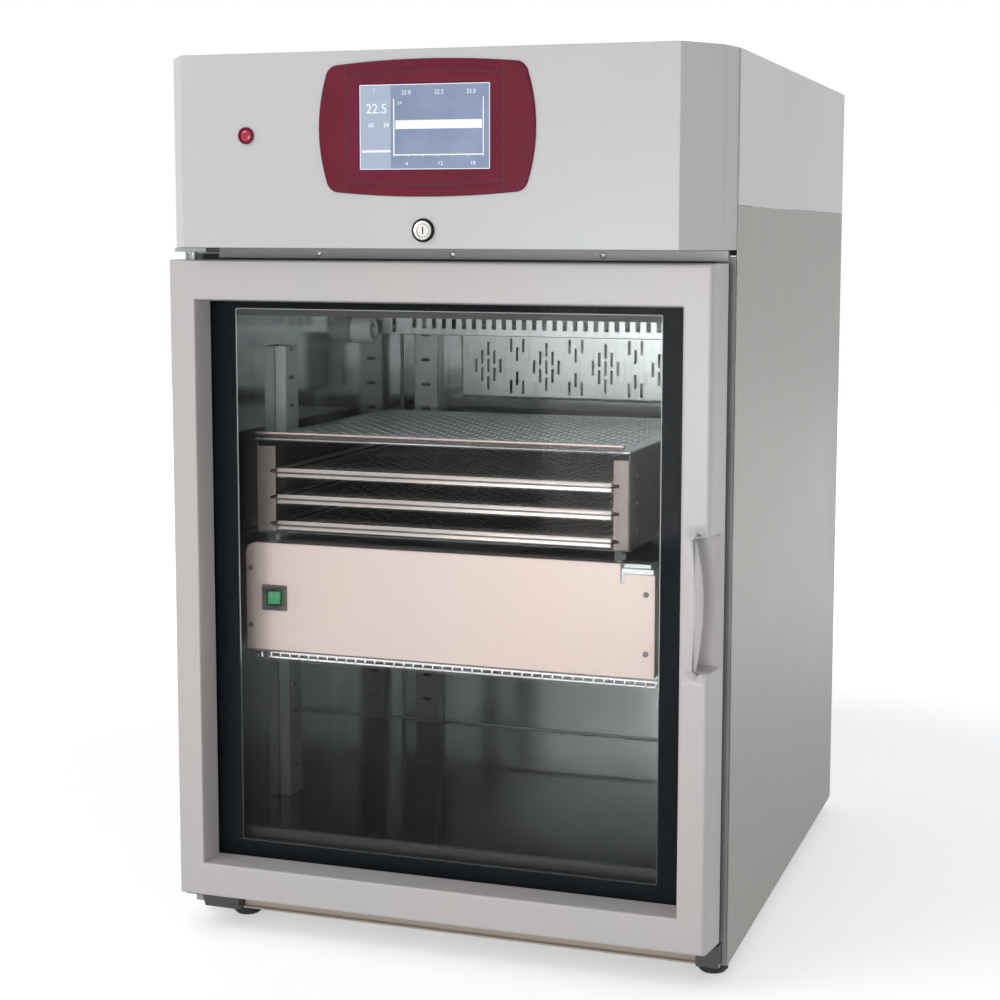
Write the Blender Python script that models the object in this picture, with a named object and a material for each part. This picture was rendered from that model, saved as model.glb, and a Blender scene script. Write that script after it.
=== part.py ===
"""Benchtop platelet incubator with a glazed door, a display head and a rocking platelet agitator inside.

Metres, +Z up, the front faces -Y. The origin is the middle of the footprint at floor level.
"""

import math

import bmesh
import bpy
from mathutils import Vector

# Fits
CLEAR = 0.0003
PIN_CLEAR = 0.0003

# Cabinet
WIDTH = 0.570
DEPTH = 0.655
HEIGHT = 0.880
PROUD = 0.003
FOOT_HEIGHT = 0.014
SHEET = 0.0012
SEAM_DROP = 0.142
BODY_SETBACK = 0.072
HEAD_HEIGHT = 0.183
RAIL_HEIGHT = 0.007
COLLAR_THICK = 0.005
REAR_INSET = 0.0013

# Chamber
SIDE_WALL = 0.045
ROOF_WALL = 0.055
CHAMBER_Z0 = 0.100
CHAMBER_DEPTH = 0.461
LINER_SHEET = 0.001

# Head
HEAD_SHELL = 0.002
CHEEK_BACK = (0.001, 0.0717)
CHEEK_FOLD = (0.008, 0.040)
NOSE_INSET = 0.038
BEZEL_CENTRE_X = 0.0055
BEZEL_DROP = 0.009
BEZEL_HEIGHT = 0.126
BEZEL_HALF = 0.1075
BEZEL_THICK = 0.0015
SCREEN_HALF = 0.0645
SCREEN_X = 0.0045
SCREEN_LIFT = 0.025
SCREEN_HEIGHT = 0.078
LAMP_X = -0.178
LAMP_DROP = 0.077
LAMP_RADIUS = 0.008
LOCK_X = 0.003
LOCK_LIFT = 0.017
LOCK_RADIUS = 0.011
LOCK_PLUG = 0.006
LOCK_BACK = 0.022
CAM_REACH = 0.038
CAM_HALF = 0.005
CAM_THICK = 0.003

# Door
DOOR_FRONT = 0.018
DOOR_BACK = 0.064
DOOR_Z0 = 0.041
DOOR_TOP_GAP = 0.012
DOOR_SIDE_GAP = 0.011
DOOR_FLARE = 0.006
DOOR_WALL = 0.0025
STILE = 0.027
LOWER_RAIL = 0.034
UPPER_RAIL = 0.039
REVEAL_BACK = 0.048
REVEAL_DRAFT = 0.002
CHANNEL_BACK = 0.060
GLASS_LAP = 0.004
OUTER_GLASS = 0.004
SPACER_DEPTH = 0.006
INNER_GLASS = 0.003
GASKET_INSET = 0.018
GASKET_WIDE = 0.016
HINGE_INSET = 0.010
HINGE_DEPTH = 0.050
HINGE_PIN = 0.004
GRIP_Z0 = 0.310
GRIP_Z1 = 0.437

# Agitator
SHELF_Z = 0.282
SHELF_THICK = 0.003
WIRE_PITCH = 0.0105
WIRE_WIDE = 0.003
BASE_HEIGHT = 0.1067
BASE_SIDE = 0.026
BASE_FAR_SIDE = 0.035
BASE_INSET = 0.012
RAIL_LIFT = 0.004
ROLLER_RADIUS = 0.005
ROLLER_WIDE = 0.008
AXLE_RADIUS = 0.002
CARRIAGE_SHIFT = 0.002
CARRIAGE_FAR_SIDE = 0.025
CARRIAGE_DEEP = 0.340
CARRIAGE_SHEET = 0.0015
CARRIAGE_LIFT = 0.0115
CARRIAGE_HEIGHT = 0.095
TRAY_SIDE = 0.022
TRAY_FAR_SIDE = 0.017
TRAY_HEIGHT = 0.009
TRAY_PITCH = 0.027
TRAY_LIFT = 0.0037
TRAY_COUNT = 3
TRAY_SHEET = 0.001
TRAY_REAR = 0.0055
CRANK_X = -0.060
CRANK_INSET = 0.171
CRANK_RADIUS = 0.018
ROD_LENGTH = 0.085
TOP_LIP = 0.008

# Port, fan and standards
PORT_SETBACK = 0.021
PORT_DROP = 0.035
PORT_RADIUS = 0.015
PORT_SHANK = 0.011
PORT_PROUD = 0.025
FAN_X = -0.070
FAN_LIFT = 0.0385
FAN_RADIUS = 0.030
STANDARD_WIDE = 0.030
STANDARD_DEEP = 0.012
STANDARD_SHEET = 0.0015
STANDARD_DROP = 0.0035
SLOT_PITCH = 0.0305
DUCT_LENGTH = 0.125
DUCT_HEIGHT = 0.0395
COVER_DEEP = 0.063
COVER_HEIGHT = 0.078
COVER_SIDE = 0.102
COVER_PITCH = 0.0245
COMB_PITCH = 0.0123

# Planes worked out from the sizes above
FRONT = -(DEPTH - PROUD) / 2
BACK = FRONT + DEPTH
BODY_Y = FRONT + BODY_SETBACK
HALF = WIDTH / 2
INSIDE_HALF = HALF - SHEET - CLEAR
SEAM_Z = HEIGHT - SEAM_DROP
HEAD_Z = HEIGHT - HEAD_HEIGHT
DECK_Z = HEAD_Z - RAIL_HEIGHT
HEAD_PLAN = ((HALF - CHEEK_BACK[0], CHEEK_BACK[1]), (HALF - CHEEK_FOLD[0], CHEEK_FOLD[1]), (HALF - NOSE_INSET, 0))
BEZEL_Z1 = HEIGHT - BEZEL_DROP
BEZEL_Z0 = BEZEL_Z1 - BEZEL_HEIGHT
SCREEN_Z0 = BEZEL_Z0 + SCREEN_LIFT
SCREEN_Z1 = SCREEN_Z0 + SCREEN_HEIGHT
LAMP_Z = HEIGHT - LAMP_DROP
LOCK_Z = HEAD_Z + LOCK_LIFT
LINER_Y0 = BODY_Y + COLLAR_THICK + CLEAR
CHAMBER_HALF = HALF - SIDE_WALL
CHAMBER_Z1 = DECK_Z - ROOF_WALL
CHAMBER_BACK = BODY_Y + CHAMBER_DEPTH
DOOR_HALF = HALF - DOOR_SIDE_GAP
DOOR_BACK_HALF = DOOR_HALF + DOOR_FLARE
DOOR_Z1 = HEAD_Z - DOOR_TOP_GAP
WINDOW_HALF = DOOR_HALF - STILE
WINDOW_Z0 = DOOR_Z0 + LOWER_RAIL
WINDOW_Z1 = DOOR_Z1 - UPPER_RAIL
GLASS_HALF = WINDOW_HALF + GLASS_LAP
GLASS_Z0 = WINDOW_Z0 - GLASS_LAP
GLASS_Z1 = WINDOW_Z1 + GLASS_LAP
GASKET_HALF = DOOR_BACK_HALF - GASKET_INSET
HINGE_X = HINGE_INSET - DOOR_HALF
BASE_X0 = BASE_SIDE - CHAMBER_HALF
BASE_X1 = CHAMBER_HALF - BASE_FAR_SIDE
BASE_DEPTH = CARRIAGE_DEEP + 0.005
BASE_Z0 = SHELF_Z + SHELF_THICK + CLEAR
BASE_Z1 = BASE_Z0 + BASE_HEIGHT
BASE_Y = BODY_Y + BASE_INSET
RAIL_Z = BASE_Z1 + RAIL_LIFT
CARRIAGE_X0 = BASE_X0 - CARRIAGE_SHIFT
CARRIAGE_X1 = BASE_X1 - CARRIAGE_FAR_SIDE
CARRIAGE_Z0 = RAIL_Z + CARRIAGE_LIFT
CARRIAGE_Z1 = CARRIAGE_Z0 + CARRIAGE_HEIGHT
CARRIAGE_Y = BASE_Y + 0.004
TRAY_X0 = CARRIAGE_X0 + TRAY_SIDE
TRAY_X1 = CARRIAGE_X1 - TRAY_FAR_SIDE
TRAY_Z = tuple(CARRIAGE_Z0 + TRAY_LIFT + TRAY_PITCH * step for step in range(TRAY_COUNT))
CRANK_Y = BASE_Y + CRANK_INSET
DUCT_Y = CHAMBER_BACK - DUCT_LENGTH
DUCT_Z = CHAMBER_Z1 - DUCT_HEIGHT
COVER_Z0 = DUCT_Z - COVER_HEIGHT
FAN_Z = COVER_Z0 + FAN_LIFT
STANDARD_TOP = DUCT_Z - STANDARD_DROP
PORT_Y = DUCT_Y - PORT_SETBACK
PORT_Z = CHAMBER_Z1 - PORT_DROP
REAR_Y1 = BACK - REAR_INSET
REAR_Y0 = REAR_Y1 - SHEET
FLOOR_Z = FOOT_HEIGHT + SHEET + CLEAR

FINISHES = {
    "brushed_side": ((0.50, 0.51, 0.49), 0.38, 0.9),
    "cabinet_grey": ((0.66, 0.65, 0.62), 0.42, 0.3),
    "door_grey": ((0.64, 0.62, 0.60), 0.40, 0.4),
    "polished_steel": ((0.62, 0.62, 0.63), 0.14, 1.0),
    "bright_steel": ((0.72, 0.71, 0.71), 0.22, 1.0),
    "zinc": ((0.55, 0.55, 0.54), 0.40, 1.0),
    "beige_strip": ((0.60, 0.54, 0.44), 0.5, 0.2),
    "burgundy": ((0.16, 0.03, 0.07), 0.30, 0.0),
    "screen_blue": ((0.10, 0.16, 0.28), 0.15, 0.0),
    "lamp_red": ((0.60, 0.02, 0.05), 0.15, 0.0),
    "black_plastic": ((0.02, 0.02, 0.022), 0.45, 0.0),
    "black_rubber": ((0.02, 0.02, 0.02), 0.8, 0.0),
    "dark_grey_plastic": ((0.10, 0.10, 0.11), 0.5, 0.0),
    "foam": ((0.80, 0.74, 0.52), 0.9, 0.0),
    "clear_glass": ((0.85, 0.90, 0.90), 0.03, 0.0),
    "gasket_grey": ((0.22, 0.22, 0.23), 0.7, 0.0),
    "green_rocker": ((0.02, 0.42, 0.16), 0.25, 0.0),
    "white_plastic": ((0.80, 0.80, 0.78), 0.45, 0.0),
    "fins": ((0.70, 0.70, 0.70), 0.35, 1.0),
    "copper_brown": ((0.05, 0.05, 0.06), 0.35, 0.2),
}


def clear_scene():
    for obj in list(bpy.data.objects):
        bpy.data.objects.remove(obj, do_unlink=True)


def finish_of(name):
    found = bpy.data.materials.get(name)
    if found:
        return found
    colour, roughness, metallic = FINISHES[name]
    made = bpy.data.materials.new(name)
    made.use_nodes = True
    shader = made.node_tree.nodes["Principled BSDF"]
    shader.inputs["Base Color"].default_value = (*colour, 1.0)
    shader.inputs["Roughness"].default_value = roughness
    shader.inputs["Metallic"].default_value = metallic
    return made


def solid(name, finish, points, faces):
    """One closed mesh with its faces turned outward."""
    mesh = bpy.data.meshes.new(name)
    mesh.from_pydata([tuple(point) for point in points], [], faces)
    shell = bmesh.new()
    shell.from_mesh(mesh)
    bmesh.ops.recalc_face_normals(shell, faces=shell.faces)
    shell.to_mesh(mesh)
    shell.free()
    obj = bpy.data.objects.new(name, mesh)
    bpy.context.scene.collection.objects.link(obj)
    if finish:
        mesh.materials.append(finish_of(finish))
    return obj


def along(axis, u, v, w):
    """The point with depth w along the axis and (u, v) across it, in x, y, z order."""
    return {"x": (w, u, v), "y": (u, w, v), "z": (u, v, w)}[axis]


def rect(u0, v0, u1, v1):
    return [(u0, v0), (u1, v0), (u1, v1), (u0, v1)]


def round_rect(u0, v0, u1, v1, radius, steps=4):
    corners = ((u1, v1, 0), (u0, v1, 1), (u0, v0, 2), (u1, v0, 3))
    points = []
    for u, v, quarter in corners:
        cu = u - radius if u == u1 else u + radius
        cv = v - radius if v == v1 else v + radius
        for step in range(steps + 1):
            angle = (quarter + step / steps) * math.pi / 2
            points.append((cu + radius * math.cos(angle), cv + radius * math.sin(angle)))
    return points


def circle(u, v, radius, steps=24):
    turns = [2 * math.pi * step / steps for step in range(steps)]
    return [(u + radius * math.cos(turn), v + radius * math.sin(turn)) for turn in turns]


def columns(name, finish, axis, start, end, outlines):
    """Flat outlines standing apart, each given the same thickness along an axis, in one mesh."""
    points, faces = [], []
    for outline in outlines:
        first, count = len(points), len(outline)
        points += [along(axis, u, v, start) for u, v in outline]
        points += [along(axis, u, v, end) for u, v in outline]
        faces.append(tuple(range(first, first + count)))
        faces.append(tuple(range(first + count, first + 2 * count)))
        for i in range(count):
            a, b = first + i, first + (i + 1) % count
            faces.append((a, b, b + count, a + count))
    return solid(name, finish, points, faces)


def prism(name, finish, axis, start, end, outline, holes=()):
    """A flat outline with holes, given its thickness along an axis."""
    plate = columns(name, finish, axis, start, end, [outline])
    if holes:
        over = max(0.001, end - start)
        combine(plate, "DIFFERENCE", columns(name + "_holes", None, axis, start - over, end + over, holes))
    return plate


def box(name, finish, low, high):
    return prism(name, finish, "z", low[2], high[2], rect(low[0], low[1], high[0], high[1]))


def turned(name, finish, axis, centre, profile, steps=32, ring=False):
    """A profile of (radius, depth) points spun round an axis; a ring's profile closes on itself."""
    points, rows = [], []
    for radius, depth in profile:
        row = []
        for u, v in circle(*centre, radius, steps) if radius else [centre]:
            row.append(len(points))
            points.append(along(axis, u, v, depth))
        rows.append(row)
    faces = []
    for one, two in zip(rows, rows[1:] + (rows[:1] if ring else [])):
        for i in range(steps):
            j = (i + 1) % steps
            quad = (one[i % len(one)], one[j % len(one)], two[j % len(two)], two[i % len(two)])
            corners = tuple(dict.fromkeys(quad))
            if len(corners) > 2:
                faces.append(corners)
    obj = solid(name, finish, points, faces)
    for face in obj.data.polygons:
        face.use_smooth = True
    obj.data.set_sharp_from_angle(angle=math.radians(35))
    return obj


def tub(name, finish, low, high, inner_low, inner_high, axis, side):
    """A box with walls on five sides, open on the low (0) or high (1) side of an axis."""
    bits = [(i, j, k) for i in (0, 1) for j in (0, 1) for k in (0, 1)]

    def corner(bit, lo, hi):
        return tuple((lo, hi)[bit[n]][n] for n in range(3))

    points = [corner(bit, low, high) for bit in bits]
    points += [corner(bit, inner_low, inner_high) for bit in bits]
    faces = []
    for n in range(3):
        for end in (0, 1):
            loop = [i for i, bit in enumerate(bits) if bit[n] == end]
            loop = [loop[0], loop[1], loop[3], loop[2]]
            if (n, end) != (axis, side):
                faces += [tuple(loop), tuple(i + 8 for i in loop)]
                continue
            for i in range(4):
                a, b = loop[i], loop[(i + 1) % 4]
                faces.append((a, b, b + 8, a + 8))
    return solid(name, finish, points, faces)


def mitred_ring(name, finish, profile):
    """A closed profile of (half width, low z, high z, y) points carried round a rectangle."""
    points = []
    for half, z0, z1, y in profile:
        points += [(-half, y, z0), (half, y, z0), (half, y, z1), (-half, y, z1)]
    count = len(profile)
    faces = []
    for row in range(count):
        one, two = 4 * row, 4 * ((row + 1) % count)
        for i in range(4):
            j = (i + 1) % 4
            faces.append((one + i, one + j, two + j, two + i))
    return solid(name, finish, points, faces)


def boxes(name, limits):
    """Separate boxes in one helper mesh, each given as its low and high corners."""
    points, faces = [], []
    for low, high in limits:
        first = len(points)
        for z in (low[2], high[2]):
            points += [(u, v, z) for u, v in rect(low[0], low[1], high[0], high[1])]
        faces += [
            tuple(first + i for i in face)
            for face in ((3, 2, 1, 0), (4, 5, 6, 7), (0, 1, 5, 4), (1, 2, 6, 5), (2, 3, 7, 6), (3, 0, 4, 7))
        ]
    return solid(name, None, points, faces)


def combine(obj, operation, *tools):
    """Adds the tools to a piece (UNION) or cuts them from it (DIFFERENCE)."""
    for tool in tools:
        tool.hide_render = True
        tool.display_type = "WIRE"
        step = obj.modifiers.new(tool.name, "BOOLEAN")
        step.operation = operation
        step.solver = "EXACT"
        step.object = tool
    return obj


def pivot(name, point, pieces):
    """Hangs pieces on an empty at their joint, so that they turn or slide about it."""
    empty = bpy.data.objects.new(name, None)
    empty.location = point
    bpy.context.scene.collection.objects.link(empty)
    for piece in pieces:
        for vertex in piece.data.vertices:
            vertex.co -= Vector(point)
        piece.parent = empty
    return empty


def port_bore(name, radius):
    """The round way through the left wall for the access port."""
    centre = (PORT_Y, PORT_Z)
    return prism(name, None, "x", -HALF - 0.01, -CHAMBER_HALF + 0.01, circle(*centre, radius))


def cabinet():
    wall = HALF - SHEET
    wrap = [(-HALF, SEAM_Z), (-HALF, FOOT_HEIGHT), (HALF, FOOT_HEIGHT), (HALF, SEAM_Z)]
    wrap += [(wall, SEAM_Z), (wall, FOOT_HEIGHT + SHEET), (-wall, FOOT_HEIGHT + SHEET), (-wall, SEAM_Z)]
    wrapper = prism("outer_wrapper", "brushed_side", "y", BODY_Y, BACK, wrap)
    combine(wrapper, "DIFFERENCE", port_bore("wrapper_port_bore", PORT_SHANK + CLEAR))

    low, top = SEAM_Z + CLEAR, HEIGHT - SHEET
    cover = [(-HALF, low), (-wall, low), (-wall, top), (wall, top), (wall, low), (HALF, low)]
    cover += [(HALF, HEIGHT), (-HALF, HEIGHT)]
    prism("head_cover", "brushed_side", "y", BODY_Y + CLEAR, BACK, cover)

    louvres = []
    for column in (-0.19, -0.09, 0.11, 0.21):
        for row in range(int((HEAD_HEIGHT - 0.045) / 0.018) - 1):
            z = DECK_Z + 0.035 + 0.018 * row
            louvres.append(rect(column - 0.035, z, column + 0.035, z + 0.005))
    inlet_z = DECK_Z + 0.0575
    louvres.append(rect(-0.0142, inlet_z - 0.0117, 0.0142, inlet_z + 0.0117))
    outline = rect(-INSIDE_HALF, FLOOR_Z, INSIDE_HALF, top - CLEAR)
    prism("rear_panel", "cabinet_grey", "y", REAR_Y0, REAR_Y1, outline, louvres)

    inlet = box("power_inlet", "black_plastic", (-0.0139, REAR_Y0 - 0.022, inlet_z - 0.0114),
                (0.0139, BACK, inlet_z + 0.0114))
    flange = box("inlet_flange", None, (-0.0175, REAR_Y1 + CLEAR, inlet_z - 0.0175), (0.0175, BACK, inlet_z + 0.0175))
    combine(inlet, "UNION", flange)
    mouth = round_rect(-0.0115, inlet_z - 0.008, 0.0115, inlet_z + 0.008, 0.003)
    combine(inlet, "DIFFERENCE", prism("inlet_mouth", None, "y", BACK - 0.016, BACK + 0.01, mouth))

    deck = rect(-INSIDE_HALF, BODY_Y + CLEAR, INSIDE_HALF, REAR_Y0 - CLEAR)
    prism("machine_deck", "zinc", "z", DECK_Z + 2 * CLEAR, DECK_Z + 2 * CLEAR + 0.0015, deck)
    deck_top = DECK_Z + 3 * CLEAR + 0.0015
    shell = [(0, 0), (0.062, 0), (0.062, 0.006), (0.055, 0.010), (0.055, 0.090), (0.046, 0.108)]
    shell += [(0.024, 0.118), (0, 0.120)]
    profile = [(radius, deck_top + height) for radius, height in shell]
    turned("compressor", "copper_brown", "z", (0.120, 0.140), profile)


def head():
    nose, rear = FRONT, BODY_Y
    plan = [(-x, FRONT + depth) for x, depth in HEAD_PLAN]
    plan += [(x, FRONT + depth) for x, depth in reversed(HEAD_PLAN)]
    fascia = prism("head_fascia", "cabinet_grey", "z", HEAD_Z, HEIGHT, plan)
    cheek, fold, tip = (x for x, depth in HEAD_PLAN)
    inner = [(-cheek + HEAD_SHELL, rear + 0.01), (-cheek + HEAD_SHELL, rear)]
    inner += [(-fold + 0.0018, nose + CHEEK_FOLD[1] + 0.0005), (-tip + 0.0009, nose + HEAD_SHELL)]
    inner += [(-x, y) for x, y in reversed(inner)]
    hollow = prism("head_hollow", None, "z", HEAD_Z + HEAD_SHELL, HEIGHT - HEAD_SHELL, inner)
    lock = (LOCK_X, LOCK_Z)
    lock_hole = prism("lock_hole", None, "y", nose - 0.01, nose + 0.01, circle(*lock, LOCK_PLUG + 0.0033))
    lamp = (LAMP_X, LAMP_Z)
    lamp_hole = prism("lamp_hole", None, "y", nose - 0.01, nose + 0.01, circle(*lamp, LAMP_RADIUS - 0.0009))
    gap = CLEAR
    sides = (SCREEN_X - SCREEN_HALF - gap, SCREEN_Z0 - gap, SCREEN_X + SCREEN_HALF + gap, SCREEN_Z1 + gap)
    screen_hole = prism("screen_hole", None, "y", nose - 0.01, nose + 0.01, rect(*sides))
    cam_low = nose + LOCK_BACK - 0.001
    reach = LOCK_X + CAM_REACH + CAM_HALF
    slot = boxes("head_cam_slot", [((LOCK_X - 0.008, cam_low, HEAD_Z - 0.01),
                                    (reach, cam_low + 0.006, HEAD_Z + 0.01))])
    combine(fascia, "DIFFERENCE", hollow, lock_hole, lamp_hole, screen_hole, slot)

    flat = []
    for quarter in range(4):
        signs = ((1, 1), (-1, 1), (-1, -1), (1, -1))[quarter]
        middle = (BEZEL_Z0 + BEZEL_Z1) / 2
        reach_z = (BEZEL_Z1 - BEZEL_Z0) / 2
        for step in range(8):
            turn = (quarter + step / 8) * math.pi / 2
            across = abs(math.cos(turn)) ** 0.18 * signs[0]
            up = abs(math.sin(turn)) ** 0.18 * signs[1]
            flat.append((BEZEL_CENTRE_X + BEZEL_HALF * across, middle + reach_z * up))
    face_y = nose - CLEAR
    bezel_hole = rect(*sides)
    prism("display_bezel", "burgundy", "y", face_y - BEZEL_THICK, face_y, flat, [bezel_hole])
    screen = rect(SCREEN_X - SCREEN_HALF, SCREEN_Z0, SCREEN_X + SCREEN_HALF, SCREEN_Z1)
    prism("display_screen", "screen_blue", "y", face_y - 0.001, nose + 0.012, screen)

    front = nose - PROUD
    r = LAMP_RADIUS
    rim = [(0, front + 0.0004), (r * 0.45, front), (r * 0.8, front + 0.0006), (r, front + 0.0012)]
    rim += [(r, face_y), (r - 0.0012, face_y), (r - 0.0012, nose + 0.014), (0, nose + 0.014)]
    turned("pilot_lamp", "lamp_red", "y", lamp, rim, 24)

    body = [(LOCK_PLUG + CLEAR, front + 0.0003), (LOCK_RADIUS - 0.001, front), (LOCK_RADIUS, front + 0.001)]
    body += [(LOCK_RADIUS, face_y), (LOCK_PLUG + 0.003, face_y), (LOCK_PLUG + 0.003, nose + LOCK_BACK)]
    body += [(LOCK_PLUG + CLEAR, nose + LOCK_BACK)]
    turned("lock_body", "polished_steel", "y", lock, body, 28, ring=True)
    plug = [(0, front + 0.0005), (LOCK_PLUG, front + 0.0005), (LOCK_PLUG, nose + LOCK_BACK + 0.001)]
    plug += [(0, nose + LOCK_BACK + 0.001)]
    cylinder = turned("lock_cylinder", "polished_steel", "y", lock, plug, 28)
    arm_y = nose + LOCK_BACK + 0.0005
    arm = [(LOCK_X - 0.007, LOCK_Z - 0.007), (LOCK_X + 0.007, LOCK_Z - 0.007)]
    arm += [(LOCK_X + CAM_REACH, LOCK_Z - CAM_HALF), (LOCK_X + CAM_REACH, LOCK_Z + CAM_HALF)]
    arm += [(LOCK_X + 0.007, LOCK_Z + 0.007), (LOCK_X - 0.007, LOCK_Z + 0.007)]
    combine(cylinder, "UNION", prism("lock_cam", None, "y", arm_y, arm_y + CAM_THICK, arm))
    key = (LOCK_X - 0.0006, LOCK_Z - 0.0035), (LOCK_X + 0.0006, LOCK_Z + 0.0035)
    slit = boxes("key_slit", [((key[0][0], front - 0.01, key[0][1]), (key[1][0], front + 0.008, key[1][1]))])
    combine(cylinder, "DIFFERENCE", slit)
    pivot("lock_axis", (LOCK_X, nose, LOCK_Z), [cylinder])


def base_fittings():
    face = BODY_Y - CLEAR
    foot, door_low = FOOT_HEIGHT + SHEET + CLEAR, DOOR_Z0
    bar = (DOOR_HALF + 0.003, face, HEAD_Z - CLEAR)
    box("hinge_rail", "cabinet_grey", (HINGE_X + 0.0195, face - 0.005, DECK_Z - 0.0035), bar)
    strip_top = door_low - 0.003
    fold = [(face - 0.006, FOOT_HEIGHT + 0.0003), (face, FOOT_HEIGHT + 0.0003), (face, strip_top)]
    fold += [(face - 0.0015, strip_top), (face - 0.0015, FOOT_HEIGHT + 0.002)]
    fold += [(face - 0.006, FOOT_HEIGHT + 0.002)]
    prism("plinth_strip", "beige_strip", "x", HINGE_X + 0.0365, DOOR_HALF - 0.0175, fold)

    pin = (HINGE_X, FRONT + HINGE_DEPTH)
    plate = rect(HINGE_X - 0.015, pin[1] - 0.010, HINGE_X + 0.0192, face)
    top = prism("top_hinge_bracket", "bright_steel", "z", HEAD_Z - 0.0045, HEAD_Z - CLEAR, plate)
    hanger = prism("top_pin", None, "z", DOOR_Z1 - 0.021, HEAD_Z - 0.003, circle(*pin, HINGE_PIN, 20))
    combine(top, "UNION", hanger)

    block = [(HINGE_X - 0.008, door_low - 0.0065), (HINGE_X - 0.002, foot), (HINGE_X + 0.036, foot)]
    block.append((HINGE_X + 0.036, door_low - 0.0065))
    bottom = prism("bottom_hinge_bracket", "black_plastic", "y", face - 0.016, face, block)
    ledge = rect(HINGE_X - 0.0145, pin[1] - 0.011, HINGE_X + 0.0355, face)
    shelf = prism("bracket_shelf", None, "z", door_low - 0.008, door_low - 0.004, ledge)
    boss = prism("bracket_boss", None, "z", door_low - 0.005, door_low - CLEAR, circle(*pin, 0.007, 20))
    post = prism("bottom_pin", None, "z", door_low - 0.005, door_low + 0.021, circle(*pin, HINGE_PIN, 20))
    combine(bottom, "UNION", shelf, boss, post)

    side = [(DOOR_HALF - 0.017, foot), (DOOR_HALF + 0.0055, foot), (DOOR_HALF + 0.0055, strip_top)]
    side += [(DOOR_HALF - 0.004, door_low - 0.007), (DOOR_HALF - 0.017, door_low - 0.007)]
    prism("right_base_bracket", "black_plastic", "y", face - 0.014, face, side)

    profile = [(0, 0), (0.012, 0), (0.015, 0.003), (0.015, 0.010), (0.012, FOOT_HEIGHT - CLEAR)]
    profile.append((0, FOOT_HEIGHT - CLEAR))
    places = {"front_left": (0.049 - HALF, BODY_Y + 0.022), "front_right": (HALF - 0.019, BODY_Y + 0.022)}
    places.update({"rear_left": (0.035 - HALF, BACK - 0.055), "rear_right": (HALF - 0.035, BACK - 0.055)})
    for corner, centre in places.items():
        turned("foot_" + corner, "black_rubber", "z", centre, profile, 20)


def chamber():
    half, z0, z1 = CHAMBER_HALF, CHAMBER_Z0, CHAMBER_Z1
    steel = LINER_SHEET
    liner = tub("inner_liner", "polished_steel", (-half - steel, LINER_Y0, z0 - steel),
                (half + steel, CHAMBER_BACK + steel, z1 + steel), (-half, LINER_Y0, z0),
                (half, CHAMBER_BACK, z1), 1, 0)
    combine(liner, "DIFFERENCE", port_bore("liner_port_bore", PORT_SHANK + CLEAR))
    room = steel + CLEAR
    foam = tub("foam_insulation", "foam", (-INSIDE_HALF, LINER_Y0, FLOOR_Z),
               (INSIDE_HALF, REAR_Y0 - CLEAR, DECK_Z + CLEAR), (-half - room, LINER_Y0, z0 - room),
               (half + room, CHAMBER_BACK + room, z1 + room), 1, 0)
    combine(foam, "DIFFERENCE", port_bore("foam_port_bore", PORT_SHANK + CLEAR))
    outline = rect(-INSIDE_HALF, FLOOR_Z, INSIDE_HALF, DECK_Z + CLEAR)
    mouth = rect(-half, z0, half, z1)
    prism("collar_frame", "gasket_grey", "y", BODY_Y, BODY_Y + COLLAR_THICK, outline, [mouth])

    centre = (PORT_Y, PORT_Z)
    lip = -half + CLEAR
    plug = [(0, -HALF + 0.002), (PORT_SHANK, -HALF + 0.002), (PORT_SHANK, lip), (PORT_RADIUS, lip)]
    plug += [(PORT_RADIUS, lip + PORT_PROUD - 0.002), (PORT_RADIUS - 0.002, lip + PORT_PROUD)]
    plug += [(PORT_RADIUS * 0.6, lip + PORT_PROUD), (PORT_RADIUS * 0.6, lip + PORT_PROUD - 0.012)]
    plug += [(0, lip + PORT_PROUD - 0.012)]
    port = turned("port_plug", "white_plastic", "x", centre, plug, 24)
    pivot("port_slide", (-half, *centre), [port])


def standards():
    half_wide, deep, sheet = STANDARD_WIDE / 2, STANDARD_DEEP, STANDARD_SHEET
    wall, back = CHAMBER_HALF - CLEAR, CHAMBER_BACK - CLEAR
    low, top = CHAMBER_Z0 + CLEAR, STANDARD_TOP
    section = [(-half_wide, 0), (-half_wide, deep), (half_wide, deep), (half_wide, 0)]
    section += [(half_wide - sheet, 0), (half_wide - sheet, deep - sheet)]
    section += [(-half_wide + sheet, deep - sheet), (-half_wide + sheet, 0)]
    heights = [SHELF_Z - CLEAR + SLOT_PITCH * step for step in range(-5, 11)]
    middle = BODY_Y + 0.123
    for hand, sign in (("left", -1), ("right", 1)):
        plan = [(sign * (wall - depth), middle + across) for across, depth in section]
        front = prism("standard_front_" + hand, "bright_steel", "z", low, top, plan)
        web = sign * (wall - deep)
        slots = [((min(web, web + sign * 0.004), middle - 0.006, z), (max(web, web + sign * 0.004),
                  middle + 0.006, z + SHELF_THICK + 2 * CLEAR)) for z in heights]
        slots = [((lo[0] - 0.002, *lo[1:]), (hi[0] + 0.002, *hi[1:])) for lo, hi in slots]
        combine(front, "DIFFERENCE", boxes("slots_front_" + hand, slots))
        rear_x = sign * (CHAMBER_HALF - 0.0365)
        plan = [(rear_x + across, back - depth) for across, depth in section]
        end = COVER_Z0 - CLEAR if sign > 0 else top
        rear = prism("standard_rear_" + hand, "bright_steel", "z", low, end, plan)
        web = back - deep
        slots = [((rear_x - 0.006, web - 0.002, z), (rear_x + 0.006, web + 0.004,
                  z + SHELF_THICK + 2 * CLEAR)) for z in heights]
        combine(rear, "DIFFERENCE", boxes("slots_rear_" + hand, slots))


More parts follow.
